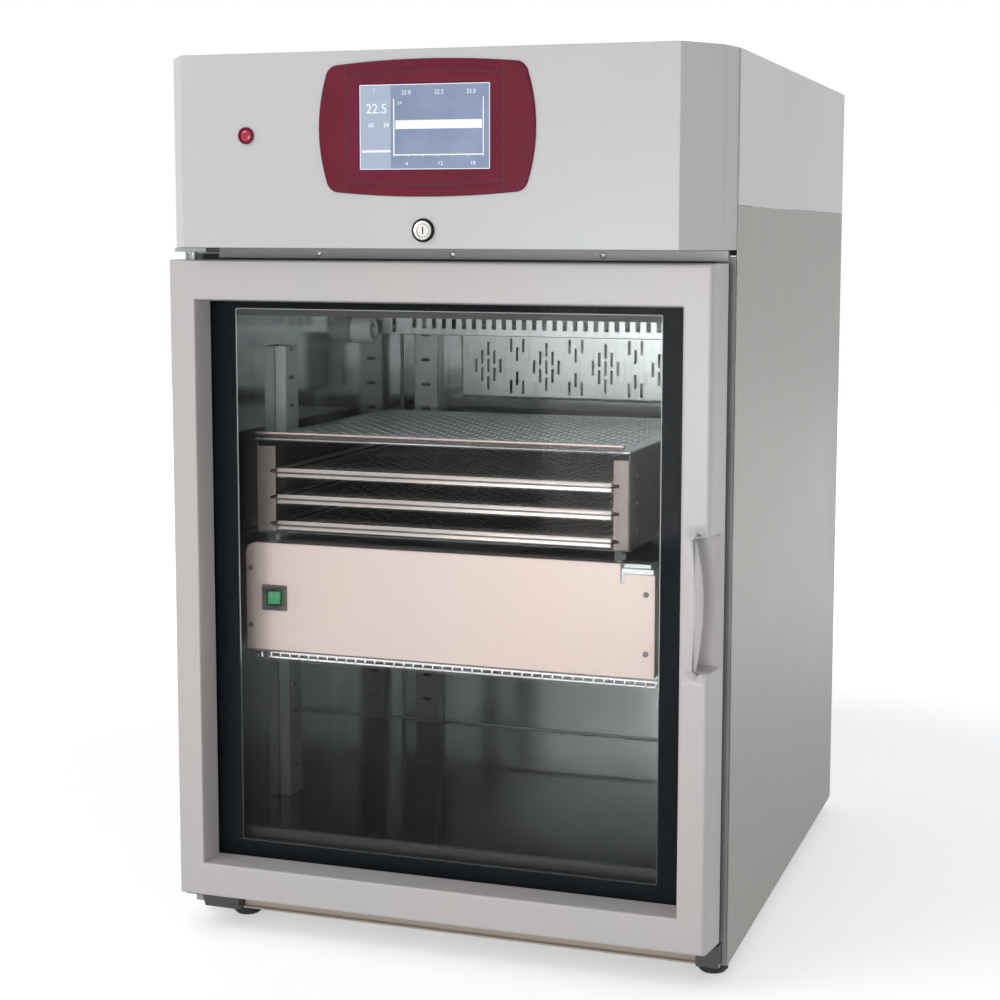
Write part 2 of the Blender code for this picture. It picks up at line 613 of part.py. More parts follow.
def shelf():
    low, top = SHELF_Z, SHELF_Z + SHELF_THICK
    half = CHAMBER_HALF - STANDARD_DEEP - 0.0065
    front, rear = BODY_Y + 0.008, CHAMBER_BACK - STANDARD_DEEP - 0.0015
    tab_x = CHAMBER_HALF - STANDARD_DEEP + 0.001
    middle = BODY_Y + 0.123
    tab_y = rear + 0.0025
    outline = [(-half + 0.006, front), (half - 0.006, front), (half, front + 0.006)]
    outline += [(half, middle - 0.0055), (tab_x, middle - 0.0055), (tab_x, middle + 0.0055)]
    tab_near, tab_far = CHAMBER_HALF - 0.042, CHAMBER_HALF - 0.031
    outline += [(half, middle + 0.0055), (half, rear), (tab_far, rear), (tab_far, tab_y), (tab_near, tab_y)]
    outline += [(tab_near, rear)]
    outline += [(-x, y) for x, y in reversed(outline)]
    outline = list(dict.fromkeys(outline))
    count = round((2 * half - 0.010) / WIRE_PITCH)
    start = -count * WIRE_PITCH / 2
    gaps = []
    for step in range(count):
        x = start + step * WIRE_PITCH + WIRE_WIDE / 2
        gaps.append(rect(x, front + 0.006, x + WIRE_PITCH - WIRE_WIDE, rear - 0.006))
    prism("wire_shelf", "bright_steel", "z", low, top, outline, gaps)


def air_system():
    strip_y, rear = DUCT_Y, CHAMBER_BACK - CLEAR
    half, low, top = CHAMBER_HALF - CLEAR, DUCT_Z, CHAMBER_Z1 - CLEAR
    slots = [rect(0.0391 - half, DUCT_Z + 0.0015, 0.0441 - half, top - 0.006)]
    for step in range(int((2 * half - 0.070) / COMB_PITCH)):
        x = 0.0644 - half + COMB_PITCH * step
        slots.append(rect(x, DUCT_Z + 0.0071, x + 0.0054, DUCT_Z + 0.0223))
    duct = prism("air_duct", "bright_steel", "y", strip_y, strip_y + SHEET, rect(-half, low, half, top), slots)
    sheet = (-half, strip_y + SHEET / 2, low), (half, rear, low + SHEET)
    fan_gap = circle(FAN_X, CHAMBER_BACK - 0.030, 0.022, 20)
    floor = prism("duct_floor", None, "z", sheet[0][2], sheet[1][2],
                  rect(-half, sheet[0][1], half, rear), [fan_gap])
    combine(duct, "UNION", floor)

    x0, x1, y0 = COVER_SIDE - CHAMBER_HALF, half, CHAMBER_BACK - COVER_DEEP
    z0, z1 = COVER_Z0, low - CLEAR
    cover = tub("fan_cover", "bright_steel", (x0, y0, z0), (x1, rear, z1),
                (x0 + SHEET, y0 + SHEET, z0 + SHEET), (x1 - SHEET, rear, z1 - SHEET), 1, 1)
    slots = []
    for column in range(int((x1 - x0 - 0.008) / COVER_PITCH)):
        x = x0 + 0.016 + column * COVER_PITCH
        for row in range(2 + column % 2):
            z = z0 + (0.010 if column % 2 else 0.020) + row * 0.0205
            slots.append(((x, y0 - 0.01, z), (x + 0.006, y0 + 0.004, z + 0.016)))
    slots.append(((FAN_X - 0.02, CHAMBER_BACK - 0.05, z1 - 0.004), (FAN_X + 0.02, CHAMBER_BACK - 0.012, z1 + 0.004)))
    combine(cover, "DIFFERENCE", boxes("cover_slots", slots))

    centre = (FAN_X, FAN_Z)
    shaft = y0 + 0.012
    motor = [(0, rear), (0.022, rear), (0.022, rear - 0.020), (0.003, rear - 0.022), (0.003, shaft), (0, shaft)]
    turned("fan_motor", "dark_grey_plastic", "y", centre, motor, 20)
    hub = [(0.0033, shaft - 0.002), (0.011, shaft - 0.002), (0.011, shaft + 0.014), (0.0033, shaft + 0.014)]
    rotor = turned("fan_rotor", "black_plastic", "y", centre, hub, 20, ring=True)
    blades = []
    for step in range(5):
        turn = 2 * math.pi * step / 5
        near, far, wide = 0.009, FAN_RADIUS, 0.007
        c, s = math.cos(turn), math.sin(turn)
        plan = [(near, -wide * 0.6), (far, -wide), (far, wide), (near, wide * 0.6)]
        flat = [(FAN_X + u * c - v * s, FAN_Z + u * s + v * c) for u, v in plan]
        blades.append(prism("blade_%d" % step, None, "y", shaft + 0.004, shaft + 0.007, flat))
    combine(rotor, "UNION", *blades)
    pivot("fan_axis", (FAN_X, shaft, FAN_Z), [rotor])

    coil = (0.005, y0 + 0.010, z0 + 0.008), (x1 - 0.012, rear - 0.006, z1 - 0.008)
    evaporator = box("evaporator", "fins", *coil)
    foot = boxes("coil_feet", [((x, rear - 0.008, FAN_Z - 0.016), (x + 0.02, rear, FAN_Z + 0.004))
                               for x in (0.02, x1 - 0.0497)])
    grooves = [((x, coil[0][1] - 0.01, coil[0][2] + 0.004), (x + 0.006, coil[1][1] - 0.012, coil[1][2] - 0.004))
               for x in [0.015 + 0.014 * step for step in range(int((x1 - 0.027) / 0.014))]]
    combine(evaporator, "UNION", foot)
    combine(evaporator, "DIFFERENCE", boxes("fin_gaps", grooves))


def agitator_base():
    x0, x1, y0 = BASE_X0, BASE_X1, BASE_Y
    y1, z0, z1 = y0 + BASE_DEPTH, BASE_Z0, BASE_Z1
    wall = CARRIAGE_SHEET
    housing = tub("agitator_housing", "polished_steel", (x0, y0, z0), (x1, y1, z1),
                  (x0 + wall, y0 + wall, z0), (x1 - wall, y1 - wall, z1 - wall), 2, 0)
    shaft = (CRANK_X, CRANK_Y)
    hole = prism("shaft_hole", None, "z", z1 - 0.01, z1 + 0.01, circle(*shaft, 0.0055, 20))
    switch_x, switch_z = x0 + 0.019, z0 + 0.0552
    rocker_room = boxes("rocker_hole", [((switch_x - 0.0105, y0 - 0.01, switch_z - 0.010),
                                         (switch_x + 0.0105, y0 + 0.01, switch_z + 0.010))])
    lift = z1 - wall / 2
    rails = prism("roller_rails", None, "z", lift, RAIL_Z, rect(x0 + 0.004, y0 + 0.005, x1 - 0.004, y1 - 0.005),
                  [rect(x0 + 0.014, y0 + 0.024, x1 - 0.014, y1 - 0.024)])
    combine(housing, "UNION", rails)
    combine(housing, "DIFFERENCE", hole, rocker_room)

    face = y0 - CLEAR
    left, right, slit, top = x0 - 0.013, x1 + 0.002, CARRIAGE_X1 - 0.0075, z1 + 0.005
    panel = [(left, z0 + CLEAR), (right, z0 + CLEAR), (right, z1 - 0.005), (slit + 0.003, z1 - 0.005)]
    panel += [(slit + 0.003, z1 - 0.014), (slit, z1 - 0.014), (slit, top), (left + 0.010, top)]
    panel += [(left + 0.0029, top - 0.0029), (left, z1 - 0.005)]
    window = rect(switch_x - 0.0105, switch_z - 0.010, switch_x + 0.0105, switch_z + 0.010)
    prism("agitator_front_panel", "polished_steel", "y", face - 0.0015, face, panel, [window])
    rim_y = face - 0.0015 - CLEAR
    rocker_switch(switch_x, y0, switch_z, rim_y)

    under = z1 - wall - CLEAR
    motor = box("drive_motor", "dark_grey_plastic", (CRANK_X - 0.045, shaft[1] - 0.032, under - 0.0452),
                (CRANK_X + 0.045, shaft[1] + 0.032, under))
    spindle = prism("motor_shaft", None, "z", under - 0.010, RAIL_Z + 0.0004, circle(*shaft, 0.003, 20))
    can = prism("motor_can", None, "z", z0 + 0.0147, under - 0.040, circle(CRANK_X + 0.015, shaft[1], 0.025, 24))
    combine(motor, "UNION", spindle, can)


def rocker_switch(x, y0, z, rim_y):
    """Power switch: a snap-in frame with a sleeve, and the lit rocker on its two pins."""
    def square(reach, wide=0.0):
        return rect(x - reach - wide, z - reach, x + reach + wide, z + reach)

    frame = prism("switch_frame", "black_plastic", "y", rim_y - 0.0015, rim_y, square(0.013, 0.0005),
                  [square(0.009, 0.0005)])
    sleeve = prism("switch_sleeve", None, "y", rim_y - 0.001, y0 + 0.020, square(0.0097, 0.0005),
                   [square(0.0085, 0.0005)])
    pins = boxes("switch_pins", [((x + side * 0.0083 - 0.0013, y0 + 0.0055, z - 0.0007),
                                  (x + side * 0.0083 + 0.0013, y0 + 0.0070, z + 0.0007)) for side in (-1, 1)])
    combine(frame, "UNION", sleeve, pins)
    axis_y = y0 + 0.006
    face_y = rim_y - 0.0010
    side = [(face_y - 0.0012, z - 0.0062), (face_y + 0.0001, z), (face_y - 0.0001, z + 0.0062)]
    side += [(axis_y - 0.0015, z + 0.0054), (axis_y + 0.003, z + 0.003), (axis_y + 0.003, z - 0.003)]
    side.append((axis_y - 0.0015, z - 0.0054))
    rocker = prism("rocker_switch", "green_rocker", "x", x - 0.0067, x + 0.0067, side)
    pivot("rocker_axis", (x, axis_y, z), [rocker])


def crank():
    x, y = CRANK_X, CRANK_Y
    low = BASE_Z1 + 0.0006
    disc = prism("crank_disc", "zinc", "z", low, low + 0.0035, circle(x, y, CRANK_RADIUS + 0.006, 28),
                 [circle(x, y, 0.003 + PIN_CLEAR, 20)])
    pin_x = x - CRANK_RADIUS
    pin = prism("crank_pin", None, "z", low + 0.002, low + 0.0075, circle(pin_x, y, 0.003, 16))
    combine(disc, "UNION", pin)
    rod_low = low + 0.0035 + CLEAR
    end_x = pin_x + ROD_LENGTH
    tip = [(pin_x + 0.007 * math.cos(t), y + 0.007 * math.sin(t))
           for t in [math.pi * (0.5 + step / 10) for step in range(11)]]
    tip += [(end_x + 0.007 * math.cos(t), y + 0.007 * math.sin(t))
            for t in [math.pi * (1.5 + step / 10) for step in range(11)]]
    holes = [circle(pin_x, y, 0.003 + PIN_CLEAR, 16), circle(end_x, y, 0.003 + PIN_CLEAR, 16)]
    rod = prism("connecting_rod", "zinc", "z", rod_low, rod_low + 0.003, tip, holes)
    pivot("crank_axis", (x, y, low), [disc])
    pivot("rod_axis", (pin_x, y, rod_low), [rod])
    return end_x, y, rod_low + 0.003


def tray_ledges(sign):
    """The inner side of one carriage wall, from the floor up, with a ledge under each tray."""
    wall = CARRIAGE_X1 - CARRIAGE_SHEET if sign > 0 else CARRIAGE_X0 + CARRIAGE_SHEET
    reach = TRAY_X1 - 0.010 if sign > 0 else TRAY_X0 + 0.010
    points = []
    for z in TRAY_Z:
        top = z - CLEAR
        points += [(wall, top - 0.0012), (reach, top - 0.0012), (reach, top), (wall, top)]
    return points


def carriage(crank_link):
    y0, y1 = CARRIAGE_Y, CARRIAGE_Y + CARRIAGE_DEEP
    x0, x1, sheet = CARRIAGE_X0, CARRIAGE_X1, CARRIAGE_SHEET
    floor = CARRIAGE_Z0 + sheet
    right = [(x1 - sheet, floor)] + tray_ledges(1) + [(x1 - sheet, CARRIAGE_Z1)]
    left = [(x0 + sheet, floor)] + tray_ledges(-1) + [(x0 + sheet, CARRIAGE_Z1)]
    section = [(x0, CARRIAGE_Z1), (x0, CARRIAGE_Z0), (x1, CARRIAGE_Z0), (x1, CARRIAGE_Z1)]
    section += list(reversed(right)) + left
    frame = prism("carriage_frame", "bright_steel", "y", y0, y1, section)
    back = box("carriage_back", None, (x0 + sheet / 2, y1 - sheet, CARRIAGE_Z0 + sheet / 2),
               (x1 - sheet / 2, y1, CARRIAGE_Z1 - 0.001))
    end_x, end_y, rod_top = crank_link
    drive = prism("drive_pin", None, "z", rod_top + CLEAR, CARRIAGE_Z0 + 0.001, circle(end_x, end_y, 0.003, 16))
    axle_z = RAIL_Z + CLEAR + ROLLER_RADIUS
    lugs, axles = [], []
    for x in (x0 + 0.014, x1 - 0.012):
        for y, turn in ((y0 + 0.003, 1), (y1 - 0.003, -1)):
            near, far = sorted((y, y + turn * 0.002))
            lugs.append(((x - 0.004, near, axle_z - 0.0035), (x + 0.004, far, CARRIAGE_Z0 + 0.001)))
            start, end = sorted((y + turn * 0.001, y + turn * (0.002 + ROLLER_WIDE + 0.001)))
            axles.append(prism("axle_%d" % len(axles), None, "y", start, end, circle(x, axle_z, AXLE_RADIUS, 12)))
    combine(frame, "UNION", back, drive, boxes("axle_lugs", lugs), *axles)
    pieces = [frame]
    for place, (x, y, turn) in {"front_left": (x0 + 0.014, y0 + 0.005, 1),
                                "front_right": (x1 - 0.012, y0 + 0.005, 1),
                                "rear_left": (x0 + 0.014, y1 - 0.005, -1),
                                "rear_right": (x1 - 0.012, y1 - 0.005, -1)}.items():
        start, end = sorted((y + turn * CLEAR, y + turn * (CLEAR + ROLLER_WIDE)))
        hub = [(AXLE_RADIUS + 0.0001, start), (ROLLER_RADIUS, start), (ROLLER_RADIUS, end)]
        hub.append((AXLE_RADIUS + 0.0001, end))
        roller = turned("roller_" + place, "white_plastic", "y", (x, axle_z), hub, 20, ring=True)
        pivot("axis_" + place, (x, y, axle_z), [roller])

    lid_z = CARRIAGE_Z1 + CLEAR
    lid = box("carriage_top_plate", "bright_steel", (x0, y0 - 0.003, lid_z), (x1, y1, lid_z + sheet))
    lip = box("top_lip", None, (x0, y0 - 0.003, lid_z + sheet / 2), (x1 - 0.006, y0 - 0.0015, lid_z + TOP_LIP))
    combine(lid, "UNION", lip)
    pieces.append(lid)

    face = y0 - CLEAR
    for hand, near, far, inward in (("left", x0 + 0.001, TRAY_X0 - 0.0005, 1), ("right", x1 - 0.001, TRAY_X1 + 0.0005, -1)):
        outline = [(near, CARRIAGE_Z0 + 0.0015), (far, CARRIAGE_Z0 + 0.0015)]
        for tray_z in TRAY_Z:
            z = tray_z + 0.0033
            outline += [(far, z), (far - inward * 0.006, z + 0.0012), (far - inward * 0.006, z + 0.0035),
                        (far, z + 0.0047)]
        outline += [(far, CARRIAGE_Z1 - 0.0065), (near, CARRIAGE_Z1 - 0.0065)]
        pieces.append(prism("front_bracket_" + hand, "bright_steel", "y", face - 0.0015, face, outline))
    pivot("carriage_slide", (0, y0, CARRIAGE_Z0), pieces)

    sheet, front, rear = TRAY_SHEET, y0 - 0.003, y1 - TRAY_REAR
    for number, z in enumerate(TRAY_Z, 1):
        tray = tub("tray_%d" % number, "bright_steel", (TRAY_X0, front, z), (TRAY_X1, rear, z + TRAY_HEIGHT),
                   (TRAY_X0 + sheet, front + sheet, z + sheet), (TRAY_X1 - sheet, rear - sheet, z + TRAY_HEIGHT),
                   2, 1)
        pivot("tray_%d_slide" % number, (0, front, z), [tray])


def door_side(depth):
    """Half the door's width at a depth, as its sides spread towards the back."""
    share = (depth - DOOR_FRONT) / (DOOR_BACK - DOOR_FRONT)
    return DOOR_HALF + (DOOR_BACK_HALF - DOOR_HALF) * share


def door_frame():
    wall, draft = DOOR_WALL, REVEAL_DRAFT
    front, step = FRONT + DOOR_FRONT, FRONT + DOOR_FRONT + DOOR_WALL
    reveal, rear = FRONT + REVEAL_BACK, FRONT + CHANNEL_BACK
    z0, z1 = DOOR_Z0, DOOR_Z1
    profile = [
        (DOOR_HALF, z0, z1, front),
        (WINDOW_HALF, WINDOW_Z0, WINDOW_Z1, front),
        (WINDOW_HALF - draft, WINDOW_Z0 + draft, WINDOW_Z1 - draft, reveal),
        (WINDOW_HALF - draft + wall, WINDOW_Z0 + draft - wall, WINDOW_Z1 - draft + wall, reveal),
        (WINDOW_HALF + wall, WINDOW_Z0 - wall, WINDOW_Z1 + wall, step),
        (door_side(DOOR_FRONT + wall) - wall, z0 + wall, z1 - wall, step),
        (door_side(CHANNEL_BACK) - wall, z0 + wall, z1 - wall, rear),
        (door_side(CHANNEL_BACK), z0, z1, rear),
    ]
    frame = mitred_ring("door_frame", "door_grey", profile)
    blocks = boxes("hinge_blocks", [((HINGE_X - 0.0085, front + 0.0015, z0 + 0.001),
                                     (HINGE_X + 0.0092, rear - 0.001, z0 + 0.027)),
                                    ((HINGE_X - 0.0085, front + 0.0015, z1 - 0.025),
                                     (HINGE_X + 0.0092, rear - 0.001, z1 - 0.001))])
    pin = circle(HINGE_X, FRONT + HINGE_DEPTH, HINGE_PIN + PIN_CLEAR, 20)
    low_bore = prism("low_bore", None, "z", z0 - 0.01, z0 + 0.023, pin)
    high_bore = prism("high_bore", None, "z", z1 - 0.023, z1 + 0.01, pin)
    middle, half = (GRIP_Z0 + GRIP_Z1) / 2, (GRIP_Z1 - GRIP_Z0) / 2
    edge = [(DOOR_BACK_HALF + 0.010, GRIP_Z0)]
    for step_up in range(13):
        share = step_up / 6 - 1
        bow = 0.0068 * share * share + 0.0022 * max(share, 0) ** 3
        edge.append((DOOR_HALF - 0.0055 - bow, middle + half * share))
    edge.append((DOOR_BACK_HALF + 0.010, GRIP_Z1))
    grip = prism("grip_cut", None, "y", FRONT, FRONT + 0.046, edge)
    cam_y = FRONT + LOCK_BACK - 0.0008
    cam = boxes("door_cam_slot", [((LOCK_X - 0.008, cam_y, z1 - 0.006), (LOCK_X + 0.032, cam_y + 0.0058, z1 + 0.01))])
    combine(frame, "UNION", blocks)
    combine(frame, "DIFFERENCE", low_bore, high_bore, grip, cam)
    return frame


def grip_insert():
    low, high = GRIP_Z0 - 0.0035, GRIP_Z1 + 0.0035
    near, rear = FRONT + DOOR_FRONT + DOOR_WALL + CLEAR, FRONT + 0.0485
    lip, wide = DOOR_HALF - 0.0205, DOOR_BACK_HALF - 0.005
    wall = [(lip, near), (lip + 0.002, near), (lip + 0.002, rear - 0.0085), (lip + 0.0065, rear - 0.002)]
    wall += [(wide, rear - 0.002), (wide, rear), (lip + 0.0055, rear), (lip, rear - 0.0075)]
    insert = prism("grip_insert", "door_grey", "z", low, high, wall)
    end = [(lip + 0.0001, near + 0.0001), (DOOR_HALF - 0.0028, near + 0.0001), (wide - 0.0002, rear - 0.0001)]
    end += [(lip + 0.0056, rear - 0.0001), (lip + 0.0001, rear - 0.0076)]
    caps = [prism("grip_cap_%d" % n, None, "z", z, z + 0.002, end) for n, z in enumerate((low - 0.0005, high - 0.0015))]
    return combine(insert, "UNION", *caps)


def glazing():
    half, z0, z1 = GLASS_HALF, GLASS_Z0, GLASS_Z1
    outer = FRONT + REVEAL_BACK + CLEAR
    spacer = outer + OUTER_GLASS + CLEAR
    inner = spacer + SPACER_DEPTH + CLEAR
    lip = inner + INNER_GLASS + CLEAR
    pane = rect(-half, z0, half, z1)
    pieces = [prism("outer_glass", "clear_glass", "y", outer, outer + OUTER_GLASS, pane)]
    pieces.append(prism("inner_glass", "clear_glass", "y", inner, inner + INNER_GLASS, pane))
    band = [(half - 0.0005, z0 + 0.0005, z1 - 0.0005), (half - 0.022, z0 + 0.022, z1 - 0.020)]
    profile = [(*band[0], spacer), (*band[0], inner - CLEAR), (*band[1], inner - CLEAR), (*band[1], spacer)]
    pieces.append(mitred_ring("glass_spacer", "black_plastic", profile))

    flange, rear = FRONT + CHANNEL_BACK + CLEAR, FRONT + DOOR_BACK
    edge = (half + CLEAR, z0 - CLEAR, z1 + CLEAR)
    rim = (half + CLEAR + 0.002, z0 - CLEAR - 0.002, z1 + CLEAR + 0.002)
    hold = (half - 0.010, z0 + 0.010, z1 - 0.010)
    side = (DOOR_BACK_HALF, DOOR_Z0, DOOR_Z1)
    profile = [(*side, flange), (*side, rear), (*hold, rear), (*hold, lip), (*edge, lip)]
    profile += [(*edge, outer + 0.0007), (*rim, outer + 0.0007), (*rim, flange)]
    pieces.append(mitred_ring("door_inner_frame", "black_plastic", profile))

    wide, seal, face = GASKET_WIDE, rear + CLEAR, BODY_Y - CLEAR
    under, over = DOOR_Z0 + 0.021, DOOR_Z1 - 0.023
    outer_seal = (GASKET_HALF, under, over)
    inner_seal = (GASKET_HALF - wide, under + wide, over - wide)
    tip_out = (GASKET_HALF - 0.003, under + 0.003, over - 0.003)
    tip_in = (GASKET_HALF - wide + 0.003, under + wide - 0.003, over - wide + 0.003)
    profile = [(*outer_seal, seal), (*outer_seal, seal + 0.0035), (*tip_out, face), (*tip_in, face)]
    profile += [(*inner_seal, seal + 0.0035), (*inner_seal, seal)]
    pieces.append(mitred_ring("door_gasket", "gasket_grey", profile))
    return pieces


def main():
    clear_scene()
    cabinet()
    head()
    base_fittings()
    chamber()
    standards()
    shelf()
    air_system()
    agitator_base()
    carriage(crank())
    pivot("door_axis", (HINGE_X, FRONT + HINGE_DEPTH, 0), [door_frame(), grip_insert(), *glazing()])


main()
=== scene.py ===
"""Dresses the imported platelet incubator: finishes, rounded shells, wires, perforations and the studio."""

import math

import bmesh
import bpy
import numpy as np
from mathutils import Matrix, Vector


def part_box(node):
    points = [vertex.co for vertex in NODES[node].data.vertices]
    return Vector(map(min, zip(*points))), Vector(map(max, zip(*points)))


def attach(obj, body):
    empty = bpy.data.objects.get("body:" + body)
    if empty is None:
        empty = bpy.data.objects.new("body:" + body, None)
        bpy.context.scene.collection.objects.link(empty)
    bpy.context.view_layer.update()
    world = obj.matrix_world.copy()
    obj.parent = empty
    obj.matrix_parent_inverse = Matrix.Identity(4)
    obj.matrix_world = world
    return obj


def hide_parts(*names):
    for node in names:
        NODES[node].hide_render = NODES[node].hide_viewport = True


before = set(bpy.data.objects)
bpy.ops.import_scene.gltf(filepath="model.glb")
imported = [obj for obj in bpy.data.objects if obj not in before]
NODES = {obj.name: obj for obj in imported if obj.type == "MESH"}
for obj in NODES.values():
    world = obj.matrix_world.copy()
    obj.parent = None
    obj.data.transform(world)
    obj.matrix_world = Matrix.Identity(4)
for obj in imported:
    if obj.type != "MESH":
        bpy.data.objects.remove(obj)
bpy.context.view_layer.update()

bl_info = {
    "name": "Platelet incubator dressing",
    "version": (1, 0, 0),
    "blender": (4, 5, 0),
    "location": "View3D > Sidebar > Incubator",
    "description": "Builds the visual pieces and finishes of a benchtop platelet incubator",
    "category": "Object",
}


def low(node):
    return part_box(node)[0]


def high(node):
    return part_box(node)[1]


def face_of(node):
    """Middle x, middle z, half width and half height of a node seen from the front."""
    first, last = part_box(node)
    return (first.x + last.x) / 2, (first.z + last.z) / 2, (last.x - first.x) / 2, (last.z - first.z) / 2


# Settings


def colour_setting(name, words, value):
    return bpy.props.FloatVectorProperty(name=name, description=words, subtype="COLOR", size=3, min=0, max=1,
                                         default=value)


def length_setting(name, words, value):
    return bpy.props.FloatProperty(name=name, description=words, default=value, unit="LENGTH", precision=4)


class CabinetSettings(bpy.types.PropertyGroup):
    side: colour_setting("Side panels", "Brushed steel of the sides", (0.282, 0.286, 0.264))
    coat: colour_setting("Head coating", "Pale grey of the head", (0.545, 0.545, 0.540))
    strip: colour_setting("Plinth strip", "Strip under the door", (0.47, 0.40, 0.33))
    bezel: colour_setting("Display bezel", "Moulding round the screen", (0.132, 0.006, 0.023))
    lamp: colour_setting("Pilot lamp", "Red lens", (0.36, 0.004, 0.030))
    screen: colour_setting("Screen", "Lit ground of the display", (0.250, 0.305, 0.450))
    grain: bpy.props.FloatProperty(name="Brushing", description="Depth of the brushed grain", default=0.05,
                                   min=0, max=1)


class DoorSettings(bpy.types.PropertyGroup):
    coat: colour_setting("Door coating", "Warm grey of the door frame", (0.50, 0.475, 0.465))
    edge: length_setting("Edge radius", "Rounding of the door's folded edges", 0.0022)
    undercut: length_setting("Grip undercut", "How far the pocket reaches in behind its lip", 0.0060)
    glass: colour_setting("Glass tint", "Slight green of the panes", (0.93, 0.965, 0.955))
    band: length_setting("Black band", "Width of the dark band at the glass's sides", 0.0310)


class ChamberSettings(bpy.types.PropertyGroup):
    steel: colour_setting("Polished steel", "Liner and agitator sheet", (0.36, 0.385, 0.385))
    wire: length_setting("Wire", "Thickness of the shelf wires", 0.0030)
    pitch: length_setting("Wire pitch", "Distance between the shelf wires", 0.0105)
    slot: length_setting("Cover slot", "Width of a slot in the fan cover", 0.0030)
    tray_slot: length_setting("Tray slot", "Width of a slot in the trays and the top plate", 0.0042)


class StudioSettings(bpy.types.PropertyGroup):
    floor: colour_setting("Floor", "Pale floor", (0.90, 0.90, 0.90))
    key: bpy.props.FloatProperty(name="Key light", description="Power of the main lamp", default=25.0, min=0,
                                 unit="POWER")
    lens: bpy.props.FloatProperty(name="Lens", description="Focal length", default=67.49, unit="CAMERA")


SETTING_GROUPS = {
    "incubator_cabinet": CabinetSettings,
    "incubator_door": DoorSettings,
    "incubator_chamber": ChamberSettings,
    "incubator_studio": StudioSettings,
}


# Materials


def arithmetic(tree, operation, *values):
    """The result of a Math node whose inputs are sockets or plain numbers."""
    node = tree.nodes.new("ShaderNodeMath")
    node.operation = operation
    for value, socket in zip(values, node.inputs):
        if isinstance(value, bpy.types.NodeSocket):
            tree.links.new(value, socket)
        else:
            socket.default_value = value
    return node.outputs[0]


def length_of(tree, vector):
    node = tree.nodes.new("ShaderNodeVectorMath")
    node.operation = "LENGTH"
    tree.links.new(vector, node.inputs[0])
    return node.outputs["Value"]


def object_place(tree):
    return tree.nodes.new("ShaderNodeTexCoord").outputs["Object"]


def new_material(name):
    """A material with nodes, given with its tree, its main shader and its object coordinates."""
    material = bpy.data.materials.new(name)
    material.use_nodes = True
    tree = material.node_tree
    return material, tree, tree.nodes["Principled BSDF"], object_place(tree)


def set_inputs(node, values):
    for name, value in values.items():
        node.inputs[name].default_value = value


def noise(tree, place, stretch, detail=3.0, rough=0.5):
    """Noise over object coordinates, with its own number of waves per metre along x, y and z."""
    mapping = tree.nodes.new("ShaderNodeMapping")
    mapping.inputs["Scale"].default_value = stretch
    tree.links.new(place, mapping.inputs["Vector"])
    cloud = tree.nodes.new("ShaderNodeTexNoise")
    set_inputs(cloud, {"Scale": 1.0, "Detail": detail, "Roughness": rough})
    tree.links.new(mapping.outputs["Vector"], cloud.inputs["Vector"])
    return cloud.outputs["Fac"]


def ranged(tree, value, start, end, to_start, to_end):
    node = tree.nodes.new("ShaderNodeMapRange")
    set_inputs(node, {"From Min": start, "From Max": end, "To Min": to_start, "To Max": to_end})
    tree.links.new(value, node.inputs["Value"])
    return node.outputs["Result"]


def blended(tree, share, one, two):
    """A colour that goes from one to two as the share goes from 0 to 1."""
    node = tree.nodes.new("ShaderNodeMix")
    node.data_type = "RGBA"
    tree.links.new(share, node.inputs["Factor"])
    for socket, colour in zip((node.inputs[6], node.inputs[7]), (one, two)):
        if isinstance(colour, bpy.types.NodeSocket):
            tree.links.new(colour, socket)
        else:
            socket.default_value = (*colour, 1.0)
    return node.outputs[2]


def shade(colour, factor):
    return tuple(min(1.0, part * factor) for part in colour)


def relief(tree, shader, height, strength, distance, radius=0.0):
    """Fine height as a bump, over edges rounded by the given radius."""
    bump = tree.nodes.new("ShaderNodeBump")
    set_inputs(bump, {"Strength": strength, "Distance": distance})
    tree.links.new(height, bump.inputs["Height"])
    if radius:
        edge = tree.nodes.new("ShaderNodeBevel")
        edge.samples = 6
        edge.inputs["Radius"].default_value = radius
        tree.links.new(edge.outputs["Normal"], bump.inputs["Normal"])
    tree.links.new(bump.outputs["Normal"], shader.inputs["Normal"])


def brushed_metal(name, colour, roughness, axis="z", grain=0.05, spread=0.10, metallic=1.0):
    """Rolled or brushed sheet: long fine scratches along one axis, and faint clouds in colour and sheen."""
    material, tree, shader, place = new_material(name)
    scratches = noise(tree, place, [14 if letter == axis else 1500 for letter in "xyz"], 2.0)
    clouds = noise(tree, place, (7, 7, 4), 3.0, 0.6)
    share = ranged(tree, clouds, 0.3, 0.7, 0.0, 1.0)
    tone = blended(tree, share, shade(colour, 0.93), shade(colour, 1.05))
    tree.links.new(tone, shader.inputs["Base Color"])
    fine = ranged(tree, scratches, 0.25, 0.75, -spread / 2, spread / 2)
    broad = ranged(tree, clouds, 0.3, 0.7, roughness - spread / 4, roughness + spread / 4)
    tree.links.new(arithmetic(tree, "ADD", fine, broad), shader.inputs["Roughness"])
    shader.inputs["Metallic"].default_value = metallic
    relief(tree, shader, scratches, grain, 0.0004, 0.0008)
    return material


def toned(material, value, start, end, dark):
    """Blends a finish's colour from a second tone to its own as a coordinate goes from start to end."""
    tree = material.node_tree
    socket = tree.nodes["Principled BSDF"].inputs["Base Color"]
    own = socket.links[0].from_socket
    tree.links.new(blended(tree, ranged(tree, value, start, end, 0.0, 1.0), dark, own), socket)
    return material


def object_axis(material, axis):
    tree = material.node_tree
    split = tree.nodes.new("ShaderNodeSeparateXYZ")
    tree.links.new(object_place(tree), split.inputs[0])
    return split.outputs[axis]


